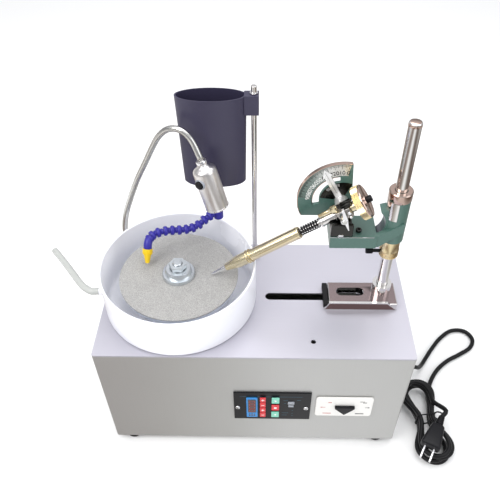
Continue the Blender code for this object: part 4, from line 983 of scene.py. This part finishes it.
def make_tank():
    dress("water_bucket", broken_edge=0.0005, segments=2)
    dress("outlet_fitting", finishes["hose_blue"], broken_edge=0.0003)
    dress("bucket_rod", broken_edge=0.0006)
    rod = middle("bucket_rod")
    rod_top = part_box("bucket_rod")[1].z
    rod_place = Matrix.Translation(Vector((rod.x, rod.y, 0)))
    bm = bmesh.new()
    lathe(bm, [(0.00335, plate_top + 0.0052), (0.0062, plate_top + 0.0052), (0.0062, plate_top + 0.0098),
               (0.00335, plate_top + 0.0098)], 6, rod_place, True)
    lathe(bm, [(0.0033, rod_top - 0.0090), (0.0042, rod_top - 0.0090), (0.0046, rod_top - 0.0084),
               (0.0046, rod_top - 0.0080), (0.0033, rod_top - 0.0080)], 32, rod_place, True)
    piece("rod_nut", bm, BRIGHT_STEEL, "case", sharp=30)

    path = smooth_path(hose_route(), 0.0005)
    beads, pitch = bmesh.new(), 0.0090
    elbow_length = 0.0125
    total = line_length(path)
    count = int((total - elbow_length) / pitch)
    bead = [(0.0026, -0.0050), (0.0038, -0.0048), (0.0040, -0.0030), (0.0037, -0.0022), (0.0048, -0.0014),
            (0.0060, -0.0003), (0.0063, 0.0012), (0.0062, 0.0028), (0.0055, 0.0038), (0.0026, 0.0040)]
    for i in range(count):
        spot = (i + 0.5) * pitch / 0.0005
        k = int(spot)
        heading = (path[k + 6] - path[max(k - 6, 0)]).normalized()
        lathe(beads, bead, 28, frame_at(path[k], heading, (0, 0, 1)), True)
    start = int(count * pitch / 0.0005)
    wire(beads, path[start::4] + [path[-1]], 0.0053, 5)
    wire(beads, path[:start + 2:6], 0.0030, 2)
    collar = path[start + 3]
    lathe(beads, [(0.0040, -0.0012), (0.0060, -0.0010), (0.0060, 0.0012), (0.0040, 0.0016)], 28,
          frame_at(collar, path[start + 6] - path[start], (0, 0, 1)), True)
    piece("coolant_hose_beads", beads, finishes["hose_blue"], "hose", ["coolant_hose"], sharp=45)
    dress("hose_nozzle", broken_edge=0.0005)
    bm = bmesh.new()
    end, heading = path[-1], (path[-1] - path[-12]).normalized()
    for z in (0.0012, 0.0030, 0.0048):
        lathe(bm, [(0.0060, z), (0.0066, z + 0.0003), (0.0066, z + 0.0008), (0.0060, z + 0.0011)], 32,
              frame_at(end, heading, (1, 0, 0)), True)
    piece("nozzle_ribs", bm, finishes["nozzle_yellow"], "hose")


# ---- mast, base and carriage --------------------------------------------------------------
mast_frame = Matrix.Translation(Vector((middle("mast_post").x, middle("mast_post").y, 0)))


def make_base():
    bm = tidy_copy("slide_base", 0.0)
    low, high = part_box("slide_base")
    bm.normal_update()
    block_top = plate_top + 0.0105
    # The front face (inside a plain chrome frame) and the right end get chrome with a painted dark brown
    # reflection; the top gets a painted mauve reflection.
    for face in list(bm.faces):
        spot, out = face.calc_center_median(), face.normal
        if out.y < -0.95 and abs(spot.y - low.y) < 0.0004:
            bmesh.ops.inset_individual(bm, faces=[face], thickness=0.0019, depth=-0.0003)
            face.material_index = 1
        elif out.z > 0.95 and abs(spot.z - block_top) < 0.0004:
            face.material_index = 2
        elif out.x > 0.95 and spot.x > high.x - 0.002:
            face.material_index = 1
    piece("slide_base_plated", bm, [finishes["chrome"], CHROME_PAINTED_DARK_BROWN_REFLECTION, CHROME_PAINTED_MAUVE_REFLECTION], "base", ["slide_base"],
          weighted=True)
    dress("base_end_pad", broken_edge=0.0006, segments=3)
    dress("mast_post", broken_edge=0.0004)
    bm = bmesh.new()
    bolt = Matrix.Translation(at(0.1160, 0.0, 0))
    cuboid(bm, (-0.0165, -0.0045, plate_top + 0.0004), (0.0165, 0.0045, plate_top + 0.0030), 0.0005, bolt)
    piece("clamp_bar", bm, finishes["blued_steel"], "base")
    bm = bmesh.new()
    cuboid(bm, (-0.0150, -0.0043, plate_top + 0.0031), (0.0150, -0.0022, plate_top + 0.0036), 0.0002, bolt)
    piece("clamp_bar_edge", bm, BRIGHT_STEEL, "base")
    bm = bmesh.new()
    mast_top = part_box("mast_post")[1].z
    lathe(bm, [(0, mast_top + 0.0003), (0.0052, mast_top + 0.0003), (0.0066, mast_top - 0.0004),
               (0.0072, mast_top - 0.0020), (0.0072, mast_top - 0.0045), (0.0068, mast_top - 0.0046),
               (0, mast_top - 0.0046)], 48, mast_frame)
    # The cap's copper-brown chrome is a painted brownish reflection.
    piece("mast_cap", bm, CHROME_PAINTED_COPPER_REFLECTION, "base")


def make_carriage():
    low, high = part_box("height_collar")
    bore, wide, slim = 0.0073, 0.0118, 0.0110
    ring_top = low.z + 0.010
    bm = bmesh.new()
    lathe(bm, [(bore, low.z), (wide - 0.0010, low.z), (wide - 0.0004, low.z + 0.0006),
               (wide - 0.0004, low.z + 0.0012), (slim - 0.0006, low.z + 0.0018),
               (slim - 0.0006, ring_top - 0.0010), (wide - 0.0003, ring_top - 0.0006),
               (wide - 0.0003, ring_top + 0.0002), (slim, ring_top + 0.0010), (slim, high.z - 0.0006),
               (slim - 0.0006, high.z), (bore, high.z)], 72, mast_frame, True)
    piece("height_collar_turned", bm, finishes["brass"], "carriage", ["height_collar"])
    bm = bmesh.new()
    for i in range(56):
        ridge = mast_frame @ spun(i / 56)
        if 0.46 < i / 56 < 0.54:
            continue
        cuboid(bm, (slim - 0.0008, -0.00032, low.z + 0.0018), (wide - 0.0003, 0.00032, ring_top - 0.0009),
               0.0, ridge)
    piece("collar_knurl", bm, finishes["brass"], "carriage")
    dress("collar_thumbscrew", broken_edge=0.0005)
    bm = bmesh.new()
    grip_middle = middle("collar_thumbscrew")
    grip = frame_at(Vector((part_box("collar_thumbscrew")[0].x, grip_middle.y, grip_middle.z)),
                    (1, 0, 0), (0, 0, 1))
    for i in range(18):
        cuboid(bm, (0.0033, -0.00022, 0.0010), (0.0038, 0.00022, 0.0078), 0.0,
               grip @ spun(i / 18))
    piece("thumbscrew_grip", bm, finishes["black_plastic"], "thumbscrew")


ARM_CURVE_AT = (0.1254, 0.3344)
ARM_CURVE_RADIUS = 0.0242


def make_arm():
    dress("arm_casting", broken_edge=0.0007, segments=3, sharp=38)
    dress("head_block", broken_edge=0.0007)
    sleeve_top = 0.378
    bm = bmesh.new()
    lathe(bm, [(0.0075, sleeve_top + 0.0004), (0.0124, sleeve_top + 0.0004), (0.0134, sleeve_top - 0.0006),
               (0.0134, 0.3672), (0.0130, 0.3666), (0.0075, 0.3666)], 72, mast_frame, True)
    # The bush's copper-brown chrome is a painted brownish reflection.
    piece("sleeve_bush", bm, CHROME_PAINTED_COPPER_REFLECTION, "arm")

    # A chrome strip on the green sleeve's left-front: a painted highlight standing for the reflection on its
    # glossy paint.
    bm = bmesh.new()
    slab(bm, sector(0.0129, 0.0134, 165, 262, 24), 0.3420, 0.3664, mast_frame, 0.0002)
    piece("sleeve_painted_highlight", bm, finishes["chrome"], "arm")

    centre = at(ARM_CURVE_AT[0], 0, ARM_CURVE_AT[1])
    bm = bmesh.new()
    liner = sector(ARM_CURVE_RADIUS - 0.0004, ARM_CURVE_RADIUS + 0.0006, -58, 40, 28)
    slab(bm, liner, -0.0074, 0.0074, frame_at(centre, (0, -1, 0), (1, 0, 0)))
    lilac = grained("machined_lilac", (0.42, 0.41, 0.47), 0.3, 1.0, (300, 2200, 300))
    piece("arm_bore_face", bm, lilac, "arm")

    # A bright steel strip along the platform's top front edge: a painted highlight.
    bm = bmesh.new()
    top = 0.3195
    cuboid(bm, at(0.0885, -0.0151, top - 0.0003), at(0.1385, -0.0144, top + 0.0002), 0.0002)
    piece("platform_painted_highlight", bm, BRIGHT_STEEL, "arm")
    bm = bmesh.new()
    screw = Matrix.Translation(at(0.1215, -0.0035, top))
    lathe(bm, [(0, 0.0001), (0.0034, 0.0001), (0.0034, 0.0030), (0.0030, 0.0034), (0.0017, 0.0034),
               (0.0015, 0.0014), (0, 0.0014)], 32, screw)
    piece("platform_screw", bm, finishes["blued_steel"], "arm")
    bm = bmesh.new()
    dowel = frame_at(at(0.0998, -0.0139, 0.3217), (0, -1, 0), (1, 0, 0))
    cuboid(bm, (-0.0030, -0.0013, 0), (0.0030, 0.0013, 0.0007), 0.0004, dowel)
    piece("block_key", bm, BRIGHT_STEEL, "arm")


# ---- scale and head -----------------------------------------------------------------------
HOUSING_END = 0.0295
BARREL_START = 0.0570
POINTER_LEAN = math.radians(6)
QUADRANT_FACE = 0.020        # distance behind the pivot's middle
RIM = 0.051
RING = 0.034
HUB = 0.026


def scale_frame(depth):
    """The scale's own plane: local X to the right, Y up, Z towards the operator."""
    return frame_at(Vector((pivot.x, pivot.y + depth, pivot.z)), (0, -1, 0), (1, 0, 0))


def make_scale():
    dress("quadrant", broken_edge=0.0004)
    bottom = 180 + math.degrees(math.asin(0.0235 / RIM))
    bm = bmesh.new()
    slab(bm, sector(RIM - 0.0004, RIM + 0.0005, 80.5, bottom - 1, 60), -0.0043, 0.0003,
         scale_frame(QUADRANT_FACE))
    slab(bm, sector(RING - 0.0005, RING + 0.0004, 97.5, 191, 48), -0.0043, 0.0003, scale_frame(QUADRANT_FACE))
    # The rims' copper-brown chrome is a painted brownish reflection.
    piece("scale_rims", bm, CHROME_PAINTED_COPPER_REFLECTION, "arm")
    bm = bmesh.new()
    slab(bm, sector(RING + 0.0012, RIM - 0.0012, 82.5, 176, 64), 0.0, 0.0003, scale_frame(QUADRANT_FACE),
         0.0001)
    # The band's finish carries a painted highlight at its top.
    piece("scale_band", bm, SCALE_METAL_PAINTED_HIGHLIGHT, "arm")
    bm = bmesh.new()
    slab(bm, sector(0.0085, HUB - 0.0006, 66, 172, 40), 0.0, 0.0003, scale_frame(QUADRANT_FACE), 0.0001)
    piece("vernier_plate", bm, finishes["blued_steel"], "arm")

    face = scale_frame(QUADRANT_FACE) @ moved(0, 0, 0.0003)
    dark, light = bmesh.new(), bmesh.new()
    for degree in range(0, 91):
        angle = math.radians(84 + degree)
        long = 0.0048 if degree % 10 == 0 else 0.0034 if degree % 5 == 0 else 0.0022
        wide = 0.00022 if degree % 5 == 0 else 0.00012
        place = face @ Matrix.Rotation(angle, 4, "Z")
        cuboid(dark, (RIM - 0.0014 - long, -wide, 0), (RIM - 0.0014, wide, 0.00012), 0.0, place)
        if degree % 10 == 0:
            figure = place @ moved(RING + 0.0052, 0, 0.0001) @ spun(-1 / 4)
            stamp(light if degree > 45 else dark, str(degree), 0.0072, figure)
    for step in range(-6, 7):
        place = face @ Matrix.Rotation(math.radians(121 + step * 3.2), 4, "Z")
        cuboid(light, (HUB - 0.0052, -0.00016, 0), (HUB - 0.0014, 0.00016, 0.00012), 0.0, place)
    piece("scale_marks", dark, DARK_MARK, "arm")
    piece("scale_figures", light, WHITE_MARK, "arm")

    bm = bmesh.new()
    lathe(bm, [(0, 0.0004), (0.0022, 0.0003), (0.0026, -0.0002), (0.0026, -0.0006), (0, -0.0006)], 32,
          scale_frame(-0.0200))
    lathe(bm, [(0, 0.0004), (0.0045, 0.0004), (0.0052, -0.0004), (0.0052, -0.0012), (0, -0.0012)], 32,
          scale_frame(0.0245) @ spun(1 / 2, "X"))
    return bm


def make_head():
    cap = make_scale()
    piece("pivot_cap", cap, SATIN_STEEL, "lock")
    dress("lock_lever", BRIGHT_STEEL, broken_edge=0.0003)
    dress("swing_block", DARK_CHROME, broken_edge=0.0004)
    dress("angle_pointer", broken_edge=0.0003, sharp=25)

    bm = bmesh.new()
    aim = Matrix.Rotation(POINTER_LEAN, 3, "Y") @ quill_frame.to_3x3().col[0]
    cuboid(bm, (0.0140, -0.00018, 0), (RIM - 0.0050, 0.00018, 0.00012), 0.0,
           frame_at(pivot + Vector((0, 0.0176, 0)), (0, -1, 0), aim))
    piece("pointer_line", bm, DARK_MARK, "tilt")

    bm = bmesh.new()
    lathe(bm, [(0.0046, 0.0084), (0.0058, 0.0084), (0.0061, 0.0090), (0.0061, 0.0287), (0.0056, 0.0293),
               (0.0046, 0.0293)], 48, quill_frame, True)
    for z in (0.0096, 0.0262):
        lathe(bm, [(0.0056, z), (0.0066, z + 0.0004), (0.0066, z + 0.0014), (0.0056, z + 0.0018)], 48,
              quill_frame, True)
    piece("housing_sleeve", bm, finishes["chrome"], "tilt")

    bm = bmesh.new()
    rod = quill_frame @ moved(0.0098, -0.0010, 0)
    lathe(bm, [(0, 0.0030), (0.0020, 0.0030), (0.0022, 0.0034), (0.0022, 0.0255), (0.0018, 0.0262),
               (0, 0.0262)], 24, rod)
    piece("pawl_rod", bm, finishes["brass"], "tilt")
    bm = bmesh.new()
    cuboid(bm, (-0.0034, -0.0042, 0.0036), (0.0032, 0.0036, 0.0100), 0.0009, rod)
    lathe(bm, [(0, 0.0100), (0.0030, 0.0100), (0.0026, 0.0128), (0, 0.0130)], 24, rod)
    piece("pawl_boss", bm, BRASS_LIGHT, "tilt")
    bm = bmesh.new()
    for x, y, z, r, h in ((0.0072, -0.0076, -0.0030, 0.0022, 0.0042),
                          (-0.0052, -0.0078, 0.0050, 0.0018, 0.0030),
                          (-0.0048, -0.0078, -0.0070, 0.0018, 0.0030),
                          (0.0016, -0.0078, -0.0085, 0.0022, 0.0034)):
        spot = quill_frame @ moved(x, y, z) @ spun(1 / 4, "X")
        lathe(bm, [(0, -0.0006), (r, -0.0006), (r, h - 0.0006), (r - 0.0005, h), (0, h)], 20, spot)
    piece("head_screws", bm, BRIGHT_STEEL, "tilt")
    bm = bmesh.new()
    latch = quill_frame @ moved(0.0085, 0.0, -0.0055)
    cuboid(bm, (-0.0026, -0.0050, -0.0080), (0.0012, 0.0050, 0.0044), 0.0006, latch)
    cuboid(bm, (0.0010, -0.0016, -0.0110), (0.0026, 0.0016, 0.0030), 0.0005, latch)
    piece("pawl_latch", bm, finishes["blued_steel"], "tilt")


# ---- quill --------------------------------------------------------------------------------
def make_quill():
    start, thick, radius = -0.0195, 0.0103, 0.0202
    back = start - thick
    bm = bmesh.new()
    ridged_ring(bm, radius, back + 0.0022, start, 96, 0.00050, quill_frame)
    piece("index_gear", bm, finishes["brass"], "index", ["index_wheel"], sharp=20)
    bm = bmesh.new()
    lathe(bm, [(0, back), (0.0060, back), (0.0064, back + 0.0006), (radius - 0.0022, back + 0.0006),
               (radius - 0.0012, back), (radius - 0.0004, back + 0.0008), (radius - 0.0004, back + 0.0021),
               (0, back + 0.0021)], 72, quill_frame)
    # The dial's copper-brown chrome is a painted brownish reflection.
    piece("index_dial", bm, CHROME_PAINTED_COPPER_REFLECTION, "index")
    bm = bmesh.new()
    lathe(bm, [(0, start - 0.0002), (radius - 0.0030, start - 0.0002), (radius - 0.0022, start + 0.0004),
               (0.0078, start + 0.0006), (0.0070, start + 0.0014), (0.0062, start + 0.0014),
               (0.0058, -0.0109), (0, -0.0109)], 72, quill_frame)
    piece("index_face", bm, BRASS_LIGHT, "index")
    bm = bmesh.new()
    for step in range(24):
        place = quill_frame @ spun(step / 24)
        long = 0.0022 if step % 6 == 0 else 0.0012
        cuboid(bm, (radius - 0.0036 - long, -0.00015, start + 0.0003),
               (radius - 0.0036, 0.00015, start + 0.0006), 0.0, place)
    piece("index_marks", bm, DARK_MARK, "index")
    dress("index_knob", broken_edge=0.0004)
    dress("quill_shaft", broken_edge=0.0003)

    dress("quill_barrel", BRASS_LIGHT, broken_edge=0.0006, segments=3)
    dress("dop_chuck", BRASS_LIGHT, broken_edge=0.0005)
    dress("dop_stick", finish=BRIGHT_STEEL, broken_edge=0.0)
    bm = bmesh.new()
    for z in (0.1262, 0.1300):
        lathe(bm, [(0.0066, z), (0.0083, z + 0.0003), (0.0086, z + 0.0010), (0.0083, z + 0.0019),
                   (0.0066, z + 0.0022)], 56, quill_frame, True)
    for z in (0.0600, 0.1236):
        lathe(bm, [(0.0066, z), (0.00745, z + 0.0002), (0.00745, z + 0.0008), (0.0066, z + 0.0010)], 56,
              quill_frame, True)
    piece("barrel_bands", bm, finishes["brass"], "barrel")
    bm = bmesh.new()
    for i in range(4):
        place = quill_frame @ spun((i + 0.5) / 4)
        cuboid(bm, (0.0030, -0.00016, 0.1585), (0.0047, 0.00016, 0.1640), 0.0, place)
    piece("chuck_slits", bm, finishes["blued_steel"], "barrel")

    first, last, turns = HOUSING_END + 0.0004, BARREL_START - 0.0004, 8
    mean, gauge, per_turn = 0.0048, 0.00078, 20
    rise = last - first - 2 * gauge
    coil = []
    for i in range(turns * per_turn + 1):
        a = math.tau * i / per_turn
        coil.append(quill_frame @ Vector((mean * math.cos(a), mean * math.sin(a),
                                          first + gauge + rise * i / (turns * per_turn))))
    bm = bmesh.new()
    wire(bm, coil, gauge, 2)
    spring = piece("quill_spring_coil", bm, finishes["spring_black"], "index", ["quill_spring"],
                   sharp=80)
    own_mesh(spring)


# ---- stage --------------------------------------------------------------------------------
def link_chain(tree, *links):
    for source, target in links:
        tree.links.new(source, target)


def make_floor():
    """A pale floor.  Only polished metal sees the darker room that stands for a workshop round it."""
    bm = bmesh.new()
    bmesh.ops.create_grid(bm, x_segments=1, y_segments=1, size=6.0)
    mesh = bpy.data.meshes.new("floor")
    bm.to_mesh(mesh)
    bm.free()
    floor = bpy.data.objects.new("floor", mesh)
    scene.collection.objects.link(floor)
    paper = Finish("floor_paper", (0.92, 0.92, 0.92), 0.9)
    mesh.materials.append(paper.material)
    across = paper.node("ShaderNodeSeparateXYZ", None, {0: paper.coords()})
    wave = paper.node("ShaderNodeMath", {"operation": "SINE"}, {0: across * 6.5 + 0.4})
    room = paper.ramp(wave * 0.5 + 0.5, [(0.0, (0.22, 0.17, 0.15)), (0.30, (0.42, 0.39, 0.36)),
                                         (0.62, (0.66, 0.65, 0.63)), (0.85, (1.0, 1.0, 1.0))])
    dimming = paper.node("ShaderNodeMapRange", None, {0: across, 1: -0.5, 2: 0.6, 3: 1.35, 4: 0.80})
    tree = paper.tree
    glow = tree.nodes.new("ShaderNodeEmission")
    mix = tree.nodes.new("ShaderNodeMixShader")
    path = tree.nodes.new("ShaderNodeLightPath")
    link_chain(tree, (room.socket, glow.inputs["Color"]), (dimming.socket, glow.inputs["Strength"]),
               (path.outputs["Is Glossy Ray"], mix.inputs[0]), (paper.shader.outputs[0], mix.inputs[1]),
               (glow.outputs[0], mix.inputs[2]),
               (mix.outputs[0], tree.nodes["Material Output"].inputs["Surface"]))


def make_world():
    """White behind the machine, even light on matt things and a soft studio in the reflections."""
    world = bpy.data.worlds.new("studio")
    scene.world = world
    world.use_nodes = True
    tree = world.node_tree
    new = tree.nodes.new
    white = tree.nodes["Background"]
    white.inputs["Color"].default_value = (1, 1, 1, 1)
    even, studio = new("ShaderNodeBackground"), new("ShaderNodeBackground")
    even.inputs["Color"].default_value = (0.97, 0.98, 1.0, 1)
    even.inputs["Strength"].default_value = 0.86
    where, split, ramp = new("ShaderNodeTexCoord"), new("ShaderNodeSeparateXYZ"), new("ShaderNodeValToRGB")
    stops = ((0.0, 0.35), (0.50, 0.42), (0.62, 0.30), (0.78, 0.75), (1.0, 0.95))
    for _ in stops[2:]:
        ramp.color_ramp.elements.new(0.5)
    for element, (place, level) in zip(ramp.color_ramp.elements, stops):
        element.position, element.color = place, (level, level, level * 1.03, 1)
    lift, path = new("ShaderNodeMath"), new("ShaderNodeLightPath")
    first, second = new("ShaderNodeMixShader"), new("ShaderNodeMixShader")
    lift.operation = "MULTIPLY_ADD"
    lift.inputs[1].default_value = lift.inputs[2].default_value = 0.5
    link_chain(tree, (where.outputs["Generated"], split.inputs[0]), (split.outputs["Z"], lift.inputs[0]),
               (lift.outputs[0], ramp.inputs[0]), (ramp.outputs["Color"], studio.inputs["Color"]),
               (path.outputs["Is Diffuse Ray"], first.inputs[0]), (studio.outputs[0], first.inputs[1]),
               (even.outputs[0], first.inputs[2]), (path.outputs["Is Camera Ray"], second.inputs[0]),
               (first.outputs[0], second.inputs[1]), (white.outputs[0], second.inputs[2]),
               (second.outputs[0], tree.nodes["World Output"].inputs["Surface"]))


def make_lights():
    for name, place, size, power, colour in (
            ("key_light", (-0.9, -0.7, 1.5), 1.0, 15, (1.0, 0.99, 0.97)),
            ("top_light", (0.2, 0.3, 1.7), 1.3, 12, (1.0, 1.0, 1.0)),
            ("fill_light", (1.2, -0.6, 0.9), 0.9, 4, (0.97, 0.98, 1.0))):
        lamp = bpy.data.lights.new(name, "AREA")
        lamp.shape = "SQUARE"
        lamp.size = size
        lamp.energy = power
        lamp.color = colour
        made = bpy.data.objects.new(name, lamp)
        scene.collection.objects.link(made)
        made.location = place
        made.rotation_euler = (Vector((0, 0, 0.2)) - Vector(place)).to_track_quat("-Z", "Y").to_euler()
    scene.view_settings.view_transform = "Standard"


make_camera()
make_lead()
make_drain_hose()
make_case()
make_panel()
make_switch()
make_bowl()
make_lap()
make_lamp()
make_tank()
make_base()
make_carriage()
make_arm()
make_head()
make_quill()
make_floor()
make_world()
make_lights()
